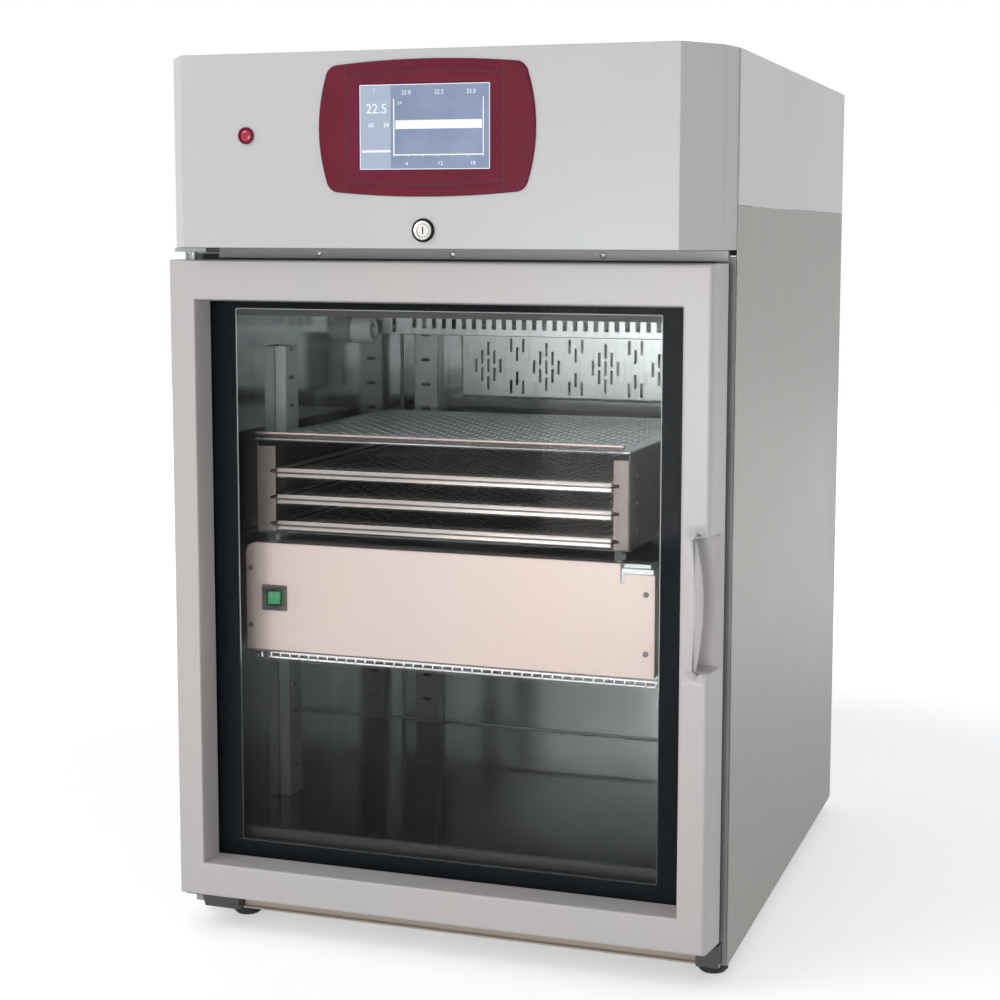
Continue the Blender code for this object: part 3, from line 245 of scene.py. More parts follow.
def liner_steel(name, colour):
    """Polished liner sheet, darker on its floor than on its walls: the floor's dark tone is painted shade,
    standing in for the dark that the polished floor mirrors.
    """
    material = brushed_metal(name, colour, 0.10, "z", 0.015, 0.05)
    floor = low("inner_liner").z + 0.0030
    # painted shade: the floor's colour is darkened in place of the dark that the polished floor mirrors
    return toned(material, object_axis(material, "Z"), floor, floor + 0.0010, shade(colour, 0.16))


def lock_face(name):
    """Plated lock face with a dark outer ring of painted shade, where the gap round the lock falls in shadow;
    the ring is told apart by the distance from the lock's axis.
    """
    material = brushed_metal(name, (0.50, 0.49, 0.46), 0.30, "y", 0.02, 0.05)
    tree = material.node_tree
    x, z, _, _ = face_of("lock_body")
    flat = tree.nodes.new("ShaderNodeMapping")
    set_inputs(flat, {"Scale": (1, 0, 1), "Location": (-x, 0, -z)})
    tree.links.new(object_place(tree), flat.inputs["Vector"])
    distance = length_of(tree, flat.outputs["Vector"])
    # painted shade: the dark outer ring stands for the shadow in the gap round the lock
    return toned(material, distance, 0.0088, 0.0086, (0.012, 0.012, 0.013))


def rim_grey(name):
    """Dark moulding of the collar, light on its outer rim beside the gasket."""
    material = moulded(name, (0.33, 0.33, 0.325), 0.50, 0.15)
    side = arithmetic(material.node_tree, "ABSOLUTE", object_axis(material, "X"))
    return toned(material, side, 0.2645, 0.2655, (0.035, 0.035, 0.038))


def fold_shaded_steel(name, colour, centre, reach, repeat):
    """Folded sheet edge with dark lines of painted shade under its folds, which reach a little round centres,
    repeated upward.
    """
    material = brushed_metal(name, colour, 0.30, "x", 0.03, 0.05)
    tree = material.node_tree
    moved = arithmetic(tree, "SUBTRACT", object_axis(material, "Z"), centre)
    off_line = arithmetic(tree, "PINGPONG", moved, repeat / 2)
    # painted shade: a dark band in each fold, where the fold's shadow falls
    return toned(material, off_line, reach, reach + 0.0002, shade(colour, 0.10))


def coated_sheet(name, colour, roughness=0.36, metallic=0.0, coat=0.25, radius=0.0015):
    """Powder-coated sheet: a fine orange-peel surface, and a faint drift from a cool tone to a warm one."""
    material, tree, shader, place = new_material(name)
    peel = noise(tree, place, (900, 900, 900), 2.0)
    drift = noise(tree, place, (5, 5, 3), 4.0, 0.6)
    red, green, blue = colour
    warm = (min(1, red * 1.03), green, blue * 0.98)
    cool = (red * 0.96, green * 0.985, min(1, blue * 1.01))
    tone = blended(tree, ranged(tree, drift, 0.3, 0.7, 0.0, 1.0), cool, warm)
    sheen = ranged(tree, drift, 0.2, 0.8, roughness - 0.05, roughness + 0.06)
    tree.links.new(tone, shader.inputs["Base Color"])
    tree.links.new(sheen, shader.inputs["Roughness"])
    set_inputs(shader, {"Metallic": metallic, "Coat Weight": coat, "Coat Roughness": 0.25})
    relief(tree, shader, peel, 0.04, 0.0003, radius)
    return material


def moulded(name, colour, roughness=0.45, texture=0.15, coat=0.0, scale=1400, radius=0.0006, gloss=0.5):
    """Moulded plastic, rubber or foam: a spark texture, and a slight drift of its tone and sheen."""
    material, tree, shader, place = new_material(name)
    spark = noise(tree, place, (scale, scale, scale), 3.0)
    drift = noise(tree, place, (30, 30, 30), 3.0)
    share = ranged(tree, drift, 0.35, 0.7, 0.0, 1.0)
    tone = blended(tree, share, shade(colour, 0.92), shade(colour, 1.12))
    sheen = ranged(tree, drift, 0.2, 0.8, roughness - 0.06, roughness + 0.08)
    tree.links.new(tone, shader.inputs["Base Color"])
    tree.links.new(sheen, shader.inputs["Roughness"])
    set_inputs(shader, {"Coat Weight": coat, "Coat Roughness": 0.08, "Specular IOR Level": gloss})
    relief(tree, shader, spark, texture, 0.0002, radius)
    return material


def post_steel(name, colour):
    """Pale sheet of the standards, in full tone above the shelf and darkened below it as painted shade."""
    material = coated_sheet(name, colour, 0.34, 0.12, 0.1)
    shelf = low("wire_shelf").z
    # painted shade: the sheet is darker below the shelf
    return toned(material, object_axis(material, "Z"), shelf - 0.010, shelf + 0.010, shade(colour, 0.16))


def glass_material(name, tint):
    """Clear pane that lets light nearly straight through, with a mirror-like gloss and faint smears."""
    material, tree, shader, place = new_material(name)
    smears = noise(tree, place, (9, 9, 3), 4.0, 0.65)
    tree.links.new(ranged(tree, smears, 0.45, 0.75, 0.0, 0.02), shader.inputs["Roughness"])
    set_inputs(shader, {"Base Color": (*tint, 1.0), "IOR": 1.5, "Transmission Weight": 1.0, "Alpha": 0.04})
    return material


def glowing(name, colour, strength):
    """A lit mark on the display, with a faint unevenness of its own brightness."""
    material, tree, shader, place = new_material(name)
    flicker = noise(tree, place, (400, 400, 400), 1.0)
    tree.links.new(blended(tree, flicker, shade(colour, 0.9), colour), shader.inputs["Emission Color"])
    set_inputs(shader, {"Base Color": (*shade(colour, 0.5), 1.0), "Roughness": 0.3})
    set_inputs(shader, {"Emission Strength": strength})
    return material


def lens_material(name, colour):
    """Tinted clear plastic, lit a little from within, darker towards its rim."""
    material, tree, shader, place = new_material(name)
    weight = tree.nodes.new("ShaderNodeLayerWeight")
    weight.inputs["Blend"].default_value = 0.35
    tone = blended(tree, weight.outputs["Facing"], colour, shade(colour, 0.25))
    facets = noise(tree, place, (500, 500, 500), 1.0)
    tree.links.new(tone, shader.inputs["Base Color"])
    tree.links.new(ranged(tree, facets, 0.2, 0.8, 0.06, 0.16), shader.inputs["Roughness"])
    set_inputs(shader, {"Coat Weight": 0.25, "Emission Color": (*colour, 1.0), "Emission Strength": 0.12})
    return material


FINISHES = {}


def make_finishes():
    """Makes each finish once: the common kinds from tables of values, the few others by their own maker."""
    scene = bpy.context.scene
    cabinet, door = scene.incubator_cabinet, scene.incubator_door
    coat, steel = tuple(cabinet.coat), tuple(scene.incubator_chamber.steel)
    metals = {
        "brushed_side": (tuple(cabinet.side), 0.42, "z", cabinet.grain, 0.12, 0.75),
        "cover_steel": (shade(steel, 1.10), 0.30, "z", 0.012, 0.03),
        "bright_steel": (shade(steel, 0.95), 0.30, "x", 0.015, 0.03),
        # lid_steel is the polished steel brightened as a painted highlight, so the lid looks lit against its
        # slots
        "lid_steel": (shade(steel, 1.60), 0.29, "x", 0.015, 0.03),
        # tray_steel and frame_steel are the polished steel darkened as painted shade, for the trays' floors
        # and the carriage frame that stand in shadow and mirror dark surroundings
        "tray_steel": (shade(steel, 0.34), 0.31, "x", 0.015, 0.03),
        "frame_steel": (shade(steel, 0.15), 0.31, "x", 0.015, 0.03),
        "bracket_steel": ((0.150, 0.128, 0.118), 0.34, "z", 0.03, 0.08, 0.7),
        "screw_steel": ((0.16, 0.155, 0.15), 0.32, "y", 0.02, 0.05),
        "chrome_steel": ((0.70, 0.70, 0.71), 0.12, "y", 0.02, 0.05),
        "zinc": ((0.50, 0.50, 0.49), 0.42, "x", 0.10, 0.14),
        "fins": ((0.62, 0.63, 0.63), 0.38, "z", 0.30, 0.12),
    }
    sheets = {
        "cabinet_grey": (coat,),
        "cover_grey": (shade(coat, 1.12),),
        "door_grey": (tuple(door.coat),),
        "seam_steel": ((0.42, 0.44, 0.42), 0.4, 0.2, 0.1),
        "panel_steel": ((0.61, 0.505, 0.46), 0.34, 0.30, 0.15),
        "beige_strip": (tuple(cabinet.strip), 0.45),
        "black_enamel": ((0.025, 0.025, 0.028), 0.3, 0.0, 0.5),
    }
    mouldings = {
        "burgundy": (tuple(cabinet.bezel), 0.42, 0.05, 0.0, 1800, 0.0008, 0.18),
        "screen_blue": (tuple(cabinet.screen), 0.35, 0.03, 0.0, 2200, 0.0003, 0.3),
        "black_plastic": ((0.012, 0.012, 0.013), 0.42, 0.20),
        "dark_grey_plastic": ((0.06, 0.06, 0.065), 0.48, 0.2),
        "white_plastic": ((0.84, 0.87, 0.84), 0.40, 0.10, 0.1, 900),
        "black_rubber": ((0.015, 0.015, 0.016), 0.70, 0.4, 0.0, 700),
        "border_black": ((0.004, 0.006, 0.008), 0.5, 0.05, 0.0, 900, 0.0004, 0.05),
        "gasket_grey": ((0.060, 0.060, 0.064), 0.65, 0.25, 0.0, 600),
        "rigid_foam": ((0.78, 0.70, 0.46), 0.85, 0.5, 0.0, 500),
    }
    tray_fold, lid_fold = low("tray_1").z + 0.0042, high("carriage_top_plate").z - 0.0046
    special = (
        (liner_steel, "polished_steel", steel),
        (post_steel, "post_steel", (0.66, 0.70, 0.66)),
        # the dark fold lines of the tray rims and of the lid edge are painted shade
        (fold_shaded_steel, "lip_steel", (0.40, 0.365, 0.345), tray_fold, 0.0009, 0.0270),
        (fold_shaded_steel, "lid_edge", (0.40, 0.33, 0.315), lid_fold, 0.0026, 0.0600),
        (lock_face, "lock_face"),
        (rim_grey, "collar_grey"),
        (lens_material, "lamp_red", tuple(cabinet.lamp)),
        (lens_material, "green_rocker", (0.012, 0.30, 0.10)),
        (glass_material, "clear_glass", tuple(door.glass)),
        (glowing, "lit_white", (0.92, 0.93, 0.97), 0.60),
        (glowing, "lit_blue", (0.44, 0.52, 0.66), 0.42),
    )
    for maker, table in ((brushed_metal, metals), (coated_sheet, sheets), (moulded, mouldings)):
        FINISHES.update({name: maker(name, *values) for name, values in table.items()})
    FINISHES.update({name: maker(name, *values) for maker, name, *values in special})


# Pieces


def dress(finish, *nodes):
    """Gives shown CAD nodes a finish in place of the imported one."""
    for node in nodes:
        mesh = NODES[node].data
        mesh.materials.clear()
        mesh.materials.append(FINISHES[finish])
        mesh.polygons.foreach_set("material_index", [0] * len(mesh.polygons))


def named(start):
    return [node for node in NODES if node.startswith(start)]


def new_mesh(name, points, faces, distance, turn):
    """A mesh of the given points and faces, with near points merged and its faces turned by a function."""
    mesh = bpy.data.meshes.new(name)
    points = np.asarray(points, float).reshape(-1, 3)
    mesh.from_pydata(points.tolist(), [], [tuple(map(int, face)) for face in faces])
    shell = bmesh.new()
    shell.from_mesh(mesh)
    bmesh.ops.remove_doubles(shell, verts=shell.verts, dist=distance)
    turn(shell)
    shell.to_mesh(mesh)
    shell.free()
    return mesh


def add_object(name, data):
    obj = bpy.data.objects.new(name, data)
    bpy.context.scene.collection.objects.link(obj)
    return obj


def add_piece(mesh, body, finish, replaced, wall=None):
    """An object that rides on a body; wall is its thickness and the side that it grows to."""
    mesh.materials.append(FINISHES[finish])
    obj = add_object(mesh.name, mesh)
    if wall:
        step = obj.modifiers.new("wall", "SOLIDIFY")
        step.thickness, step.offset = wall
    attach(obj, body)
    if replaced:
        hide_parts(*replaced)


def turn_outward(shell):
    bmesh.ops.recalc_face_normals(shell, faces=shell.faces)


def turn_to_front(shell):
    shell.normal_update()
    bmesh.ops.reverse_faces(shell, faces=[face for face in shell.faces if face.normal.y > 0])


def piece(name, points, faces, body, finish, slot, replaced=(), smooth=True, sharp=35):
    """One closed surface in the row frame, riding on a body, with its faces turned outward."""
    mesh = new_mesh(name, points, faces, 1e-6, turn_outward)
    if smooth:
        mesh.polygons.foreach_set("use_smooth", [True] * len(mesh.polygons))
        mesh.set_sharp_from_angle(angle=math.radians(sharp))
    add_piece(mesh, body, finish, replaced)


def flat_piece(name, parts, body, finish, thickness):
    """Thin marks lying on a face: flat outlines given a small thickness towards the front."""
    mesh = new_mesh(name, *joined(parts), 1e-7, turn_to_front)
    add_piece(mesh, body, finish, (), (thickness, 1.0))


def sheet_piece(name, points, faces, toward, thickness, body, finish, replaced):
    """A sheet that faces the given way, with its thickness added behind it."""

    def turn_toward(shell):
        turn_outward(shell)
        shell.normal_update()
        total = sum((face.normal * face.calc_area() for face in shell.faces), Vector())
        if total.dot(Vector(toward)) < 0:
            bmesh.ops.reverse_faces(shell, faces=shell.faces)

    mesh = new_mesh(name, points, faces, 1e-6, turn_toward)
    add_piece(mesh, body, finish, replaced, (thickness, -1.0))


def grid_faces(rows, columns, wrap_rows=False, wrap_columns=False):
    """Quads between neighbouring points of a grid that is stored row by row."""
    i = np.arange(rows if wrap_rows else rows - 1)[:, None]
    j = np.arange(columns if wrap_columns else columns - 1)[None, :]
    one, two = (i + 1) % rows, (j + 1) % columns
    quads = [i * columns + j, i * columns + two, one * columns + two, one * columns + j]
    return np.stack(quads, -1).reshape(-1, 4).tolist()


def lathe(centre, axis, profile, steps=48, closed=False):
    """Rings of radius r at depth d about an axis, for each (r, d) of a profile, as points and quads."""
    profile = np.asarray(profile, float)
    turn = np.linspace(0, 2 * math.pi, steps, endpoint=False)
    across = profile[:, 0, None] * np.cos(turn)
    up = profile[:, 0, None] * np.sin(turn)
    depth = np.repeat(profile[:, 1, None], steps, axis=1)
    order = {"x": (depth, across, up), "y": (across, depth, up), "z": (across, up, depth)}[axis]
    points = np.stack(order, -1).reshape(-1, 3) + np.asarray(centre, float)
    return points, grid_faces(len(profile), steps, closed, True)


def at_depth(flat, y):
    """Points (x, z) as points of space at one depth."""
    return np.stack([flat[..., 0], np.full(flat.shape[:-1], y), flat[..., 1]], -1)


def at_height(flat, z):
    """Points (x, y) as points of space at one height."""
    return np.stack([flat[..., 0], flat[..., 1], np.full(flat.shape[:-1], z)], -1)


def text_mesh(words, size, x, z, y):
    """Plain numerals as flat triangles facing the front, with their lower left corner at (x, z)."""
    curve = bpy.data.curves.new("numeral", "FONT")
    curve.body, curve.size, curve.resolution_u = words, size, 4
    holder = add_object("numeral", curve)
    bpy.context.view_layer.update()
    flat = bpy.data.meshes.new_from_object(holder.evaluated_get(bpy.context.evaluated_depsgraph_get()))
    points = np.empty(len(flat.vertices) * 3)
    flat.vertices.foreach_get("co", points)
    faces = [tuple(face.vertices) for face in flat.polygons]
    bpy.data.objects.remove(holder)
    bpy.data.meshes.remove(flat)
    return at_depth(points.reshape(-1, 3)[:, :2] + (x, z), y), faces


def strip_path(path, width, y):
    """A flat ribbon of even width that follows (x, z) points in a plane of constant depth."""
    path = np.asarray(path, float)
    step = np.gradient(path, axis=0)
    step /= np.linalg.norm(step, axis=1, keepdims=True)
    side = np.stack([-step[:, 1], step[:, 0]], -1) * width / 2
    points = at_depth(np.stack([path + side, path - side]), y)
    return points.reshape(-1, 3), grid_faces(2, len(path))


def joined(parts):
    """Several (points, faces) pairs as one."""
    points, faces, first = [], [], 0
    for some, quads in parts:
        points.append(np.asarray(some, float))
        faces += [tuple(i + first for i in face) for face in quads]
        first += len(some)
    return np.concatenate(points), faces


def pierced_sheet(xs, zs, holes, plane):
    """A sheet as a grid whose lines run along the holes' edges, without the cells inside the holes."""
    xs = np.unique(np.round(np.concatenate([xs, *[(hole[0], hole[2]) for hole in holes]]), 6))
    zs = np.unique(np.round(np.concatenate([zs, *[(hole[1], hole[3]) for hole in holes]]), 6))
    middle_x, middle_z = (xs[1:] + xs[:-1]) / 2, ((zs[1:] + zs[:-1]) / 2)[:, None]
    open_cell = np.zeros((len(zs) - 1, len(xs) - 1), bool)
    for x0, z0, x1, z1 in holes:
        open_cell |= (middle_z > z0) & (middle_z < z1) & (middle_x > x0) & (middle_x < x1)
    points = plane(*np.meshgrid(xs, zs)).reshape(-1, 3)
    faces = np.asarray(grid_faces(len(zs), len(xs)))[~open_cell.reshape(-1)]
    used = np.unique(faces)
    renumber = np.full(len(points), -1)
    renumber[used] = np.arange(len(used))
    return points[used], renumber[faces].tolist()


def arc(centre_u, centre_v, radius, start, end, steps):
    """Points (u, v) on a circle between two angles in degrees."""
    turn = np.radians(np.linspace(start, end, steps))
    return np.stack([centre_u + radius * np.cos(turn), centre_v + radius * np.sin(turn)], -1)


def ease(value, start, end):
    """0 before start, 1 after end, and a smooth S between: 3t^2 - 2t^3."""
    t = np.clip((value - start) / (end - start), 0, 1)
    return t * t * (3 - 2 * t)


def rounded_box_ring(half_x, low_z, high_z, radius, steps):
    """Closed outline (x, z) of a rectangle with round corners, anticlockwise from the right side."""
    corners = ((half_x - radius, high_z - radius, 0), (radius - half_x, high_z - radius, 90),
               (radius - half_x, low_z + radius, 180), (half_x - radius, low_z + radius, 270))
    return np.concatenate([arc(u, v, radius, start, start + 90, steps) for u, v, start in corners])


def screw_head(centre, axis, toward, radius, height, steps=24):
    """A low dome, r = R cos a and d = h sin a, with a cross recess pressed into it."""
    tilt = np.linspace(0, math.pi / 2 - 0.12, 6)
    profile = [(radius * 0.02, 0), (radius, 0)]
    profile += [(radius * math.cos(a), toward * (height * 0.35 + height * 0.65 * math.sin(a)))
                for a in tilt]
    profile.append((radius * 0.02, toward * height))
    points, faces = lathe(centre, axis, profile, steps)
    points = points.reshape(len(profile), steps, 3)
    turn = np.linspace(0, 2 * math.pi, steps, endpoint=False)
    pressed = np.exp(-((np.sin(2 * turn)) ** 2) / 0.06)
    points[-4:, :, "xyz".index(axis)] -= toward * height * 0.45 * pressed
    return points.reshape(-1, 3), faces


# Door

# Half width, foot and head of the door's window and of its outer edge
WINDOW = (0.247, 0.075, 0.646)
OUTER = (0.274, low("door_frame").z, high("door_frame").z)
# Front of the head, and how far behind it the door's face lies
FRONT = low("head_fascia").y
DOOR_FACE = 0.018
# How much the door's side widens, and over what depth
FLARE, FLARE_DEPTH = 0.006, 0.046
# Foot and head of the grip, and the heights over which it and its thumb dish open and close
GRIP = (0.310, 0.437)
GRIP_MIDDLE = sum(GRIP) / 2
GRIP_OPENS, GRIP_CLOSES = (0.3096, 0.3125), (0.4345, 0.4374)
DISH_OPENS, DISH_CLOSES, DISH_DEPTH = (0.299, 0.309), (0.438, 0.448), 0.0028
# Heights of the stations up the right stile, close together at both ends of the grip
GRIP_HEIGHTS = np.concatenate([
    [0.20, 0.285, 0.297], np.linspace(0.300, 0.309, 5), [0.3096, 0.3102, 0.3110, 0.3125],
    np.linspace(0.316, 0.431, 24), [0.4345, 0.4360, 0.4368, 0.4374], np.linspace(0.438, 0.447, 5),
    [0.450, 0.462, 0.56],
])
# Shares of the way back along the grip, and its depths there: lip, undercut pocket, ledge and side
GRIP_SHARES = (0, 0.06, 0.18, 0.45, 0.62, 0.80, 1.0)
GRIP_DEPTHS = (0.0208, 0.0220, 0.0250, 0.0430, 0.0452, 0.0462, 0.0595)
# Where the rows of the face start beside the grip
FACE_START = 0.2475
# Left and right end of the pocket for the lock's cam in the door's top
CAM_POCKET = (-0.0050, 0.0350)


def side_taper(depth):
    """How far the door's side has flared out at a depth; the door's height stays."""
    return FLARE * (depth - DOOR_FACE) / FLARE_DEPTH


def door_profile(radius):
    """Rows of (edge, outward, depth): edge 0 is the window's and edge 1 the outer one.

    With edge 2, outward is a share of the way between them. Depth is measured from the head's front. The loop
    runs from the reveal's back edge forward, across the face, back along the side and home inside.
    """
    rows = [(0, -0.0020, 0.0480), (0, -0.0012, 0.0360), (0, -0.0005, 0.0250)]
    rows += [(0, radius + u, DOOR_FACE + radius - v) for u, v in arc(0, 0, radius, 180, 90, 5)]
    rows += [(2, share, DOOR_FACE) for share in np.linspace(0.15, 0.85, 9)]
    edge = 0.0030
    rows += [(1, -edge + u, DOOR_FACE + edge - v) for u, v in arc(0, 0, edge, 90, 0, 6)]
    rows += [(1, side_taper(depth), depth) for depth in np.linspace(0.024, 0.0595, 12)]
    rows += [(1, 0.0030, 0.0597), (1, 0.0020, 0.0480), (1, -0.0010, 0.0300), (1, -0.0022, 0.0212)]
    rows += [(2, 0.50, 0.0206), (0, 0.0024, 0.0207), (0, 0.0014, 0.0300), (0, 0.0006, 0.0480)]
    return rows


def ring_point(row):
    """(half width, low z, high z, depth) of one profile row."""
    edge, out, depth = row
    if edge == 2:
        half, z0, z1 = (near + (far - near) * out for near, far in zip(WINDOW, OUTER))
        return half, z0, z1, depth
    half, z0, z1 = (WINDOW, OUTER)[edge]
    rise = out - edge * side_taper(depth)
    return half + out, z0 - rise, z1 + rise, depth


def grip_edge(z):
    """Left edge of the grip, a bow: 0.2685 - 0.0068 s^2 - 0.0022 max(s, 0)^3, s from -1 to 1 up the grip."""
    s = (z - GRIP_MIDDLE) / (GRIP[1] - GRIP[0]) * 2
    return 0.2685 - 0.0068 * s**2 - 0.0022 * np.maximum(s, 0) ** 3


def cam_pocket(rows, y, z):
    """Stations along the door's top that sink its rows at the lock's cam, and its inner layer with them."""
    side = next(n for n, row in enumerate(rows) if row[0] == 1 and abs(row[2] - 0.024) < 1e-6)
    inner = [n for n, row in enumerate(rows) if row[0] == 1][-2:]
    sunk_y, sunk_z = y.copy(), z.copy()
    for n, depth, fall in ((side - 1, 0.0214, 0), (side, 0.0216, 0.0115), (side + 1, 0.0268, 0.0115),
                           (side + 2, 0.0270, 0), (inner[0], 0.0300, 0.0137), (inner[1], 0.0209, 0.0137)):
        sunk_y[n] = FRONT + depth
        if fall:
            sunk_z[n] = OUTER[2] - fall
    left, right = CAM_POCKET
    stations = ((right + 0.0004, y, z), (right, sunk_y, sunk_z),
                (left, sunk_y, sunk_z), (left - 0.0004, y, z))
    return [np.stack([np.full(len(y), x), *pair], -1) for x, *pair in stations]


def door_shell_points(radius, undercut):
    """Stations round the door, each a copy of the profile, carved for the grip on the right stile.

    Inside the grip, rows on the face end at its lip, rows on the side go round the pocket behind the lip, and
    the inner rows follow underneath. Every carving is blended in and out by ease().
    """
    rows = door_profile(radius)
    half, z0, z1, depth = np.array([ring_point(row) for row in rows]).T
    y = FRONT + depth
    edges, outward, _ = np.array(rows).T
    outer = np.flatnonzero(edges == 1)
    side, inner = outer[:-4], outer[-4:]
    face = np.flatnonzero((edges == 2) & (outward != 0.50))
    across = np.linspace(0.15, 0.85, len(face))
    share = np.linspace(0, 1, len(side))
    side_y = FRONT + np.interp(share, GRIP_SHARES, GRIP_DEPTHS)
    stations = [np.stack([-half, y, z0], -1), np.stack([half, y, z0], -1)]
    for z in GRIP_HEIGHTS:
        x, deep = half.copy(), y.copy()
        lip = grip_edge(np.clip(z, *GRIP))
        inside = ease(z, *GRIP_OPENS) * (1 - ease(z, *GRIP_CLOSES))
        scoop = ease(z, *DISH_OPENS) * (1 - ease(z, *DISH_CLOSES))
        crease = 0.251 + 0.011 * (1 - ((z - GRIP_MIDDLE) / 0.075) ** 2)
        target = FACE_START + (lip - 0.0005 - FACE_START) * (0.12 + 0.88 * across / 0.85)
        x[face] += (np.minimum(target, lip - 0.0004) - x[face]) * inside
        deep[face] += DISH_DEPTH * scoop * ease(x[face], crease - 0.0025, crease + 0.0085)
        bends = (lip, lip + 0.0004, lip - undercut, lip - undercut, lip + 0.0030, 0.2745, 0.27945)
        x[side] += (np.interp(share, GRIP_SHARES, bends) - x[side]) * inside
        deep[side] += (side_y - deep[side]) * inside
        hidden = lip - undercut - 0.0016
        inner_x = np.array([0.2768, 0.2745, hidden, hidden])
        inner_y = FRONT + np.array([0.0597, 0.0482, 0.0462, 0.0230])
        x[inner] += (inner_x - x[inner]) * inside
        deep[inner] += (inner_y - deep[inner]) * inside
        stations.append(np.stack([x, deep, np.full(len(x), z)], -1))
    stations += [np.stack([half, y, z1], -1), *cam_pocket(rows, y, z1), np.stack([-half, y, z1], -1)]
    return np.array(stations)


def glass_bands(width):
    """Dark border behind the outer pane, wider at its sides, with a pale line inside it that is a painted
    highlight on the spacer's inner edge.
    """
    y = low("outer_glass").y + 0.0042
    outer = (0.2505, 0.0725, 0.6495)
    inner = (0.2505 - width, 0.0725 + width * 0.65, 0.6495 - width * 0.40)
    within = tuple(value + step for value, step in zip(inner, (-0.0007, 0.0007, -0.0007)))
    for name, sizes, finish, slot in (
        ("glass_border", (outer, inner), "border_black", "black_plastic"),
        # painted highlight: a pale line standing for the light caught by the spacer's edge
        ("glass_spacer_highlight", (inner, within), "post_steel", "white_plastic"),
    ):
        first, second = [rounded_box_ring(*size, 0.002, 5) for size in sizes]
        corners = ((first, y), (second, y), (second, y + 0.0003), (first, y + 0.0003))
        rows = [at_depth(ring, depth) for ring, depth in corners]
        piece(name, rows, grid_faces(4, len(first), True, True), "door", finish, slot, smooth=False)


class INCUBATOR_OT_door(bpy.types.Operator):
    """Door frame with its rounded window reveal and carved grip, panes, black band and gasket"""

    bl_idname = "incubator.door"
    bl_label = "Door"

    def execute(self, context):
        door = context.scene.incubator_door
        stations = door_shell_points(door.edge, door.undercut)
        faces = grid_faces(len(stations), stations.shape[1], True, True)
        piece("door_shell", stations, faces, "door", "door_grey", "door_grey", ("door_frame", "grip_insert"),
              sharp=30)
        dress("clear_glass", "outer_glass", "inner_glass")
        dress("black_plastic", "glass_spacer", "door_inner_frame")
        dress("gasket_grey", "door_gasket")
        glass_bands(door.band)
        return {"FINISHED"}


# Head and display


def pillow_outline(centre, middle, half, reach, bow_x, bow_z, radius):
    """Closed outline of a rectangle with round corners whose sides bow out.

    At the place (u, v), from -1 to 1 each, x grows by bow (1 - v^2) and z by bow (1 - u^2).
    """
    inner_x, inner_z = half - bow_x, reach - bow_z
    corners = ((1, 1, 0), (-1, 1, 90), (-1, -1, 180), (1, -1, 270))
    flat = np.concatenate([
        arc(sign_x * (inner_x - radius), sign_z * (inner_z - radius), radius, start, start + 90, 8)
        for sign_x, sign_z, start in corners])
    flat = np.array([one + (two - one) * share for one, two in zip(flat, np.roll(flat, -1, axis=0))
                     for share in np.linspace(0, 1, 13 if np.linalg.norm(two - one) > 0.01 else 2)[:-1]])
    u, v = flat[:, 0] / inner_x, flat[:, 1] / inner_z
    x = centre + flat[:, 0] + bow_x * u * (1 - v**2)
    z = middle + flat[:, 1] + bow_z * v * (1 - u**2)
    return np.stack([x, z], -1)


def rings_at(outline, inner, rows):
    """Copies of an outline, blended towards an inner one by each row's share, at each row's depth."""
    return np.array([at_depth(outline + (inner - outline) * share, depth) for share, depth in rows])


# Places along x of the moulding's two upright seams, and the middle and half length of the beads between them
SEAMS = (-0.0738, 0.0818)
BEAD_MIDDLE, BEAD_HALF = 0.0040, 0.0774


def bezel_parts(front):
    """Bowed moulding round the screen, its upright seams, and above and below a bead with a dark line of
    painted shade beside it, where its groove falls in shadow.
    """
    centre, middle, half, reach = face_of("display_bezel")
    outline = pillow_outline(centre, middle, half, reach, 0.0105, 0.0050, 0.0075)
    mid_x, mid_z, wide, tall = face_of("display_screen")
    opening = pillow_outline(mid_x, mid_z, wide + 0.0003, tall + 0.0003, 0, 0, 0.0006)
    back = high("display_bezel").y
    rows = ((0, back), (0, front + 0.0010), (0.012, front + 0.0004), (0.040, front + 0.0001),
            (0.10, front), (0.80, front), (0.93, front + 0.0002), (0.985, front + 0.0006),
            (1.0, front + 0.0011), (1.0, back))
    piece("bezel_moulding", rings_at(outline, opening, rows), grid_faces(len(rows), len(outline), True, True),
          "cabinet", "burgundy", "burgundy", ("display_bezel",), sharp=40)
    lines = [strip_path([(x, middle + rise) for rise in (-0.0585, 0, 0.0585)], 0.0007, front)
             for x in SEAMS]
    flat_piece("bezel_seams", lines, "cabinet", "black_plastic", 0.00006)
    across = np.linspace(BEAD_MIDDLE - BEAD_HALF, BEAD_MIDDLE + BEAD_HALF, 28)
    bow = 0.0040 * (1 - ((across - BEAD_MIDDLE) / BEAD_HALF) ** 2)
    for name, offset, width, finish, thickness in (
        ("bezel_beads", 0.0502, 0.0026, "burgundy", 0.00026),
        # painted shade: a black line beside each bead, in place of the groove's shadow
        ("bezel_groove_shade", 0.0482, 0.0006, "black_plastic", 0.00004),
    ):
        bands = [strip_path(np.stack([across, middle + sign * (offset + bow)], -1), width, front)
                 for sign in (1, -1)]
        flat_piece(name, bands, "cabinet", finish, thickness)


# Lines of the display: width, and points as (distance from the left, share of the height down)
DISPLAY_LINES = (
    (0.0011, ((0.0343, 0.17), (0.0343, 0.50), (0.0343, 0.83))),
    (0.0011, ((0.0338, 0.828), (0.0800, 0.828), (0.1225, 0.828))),
    (0.0009, ((0.1225, 0.16), (0.1225, 0.50), (0.1225, 0.83))),
    (0.0020, ((0.0022, 0.783), (0.0170, 0.783), (0.0310, 0.783))),
)
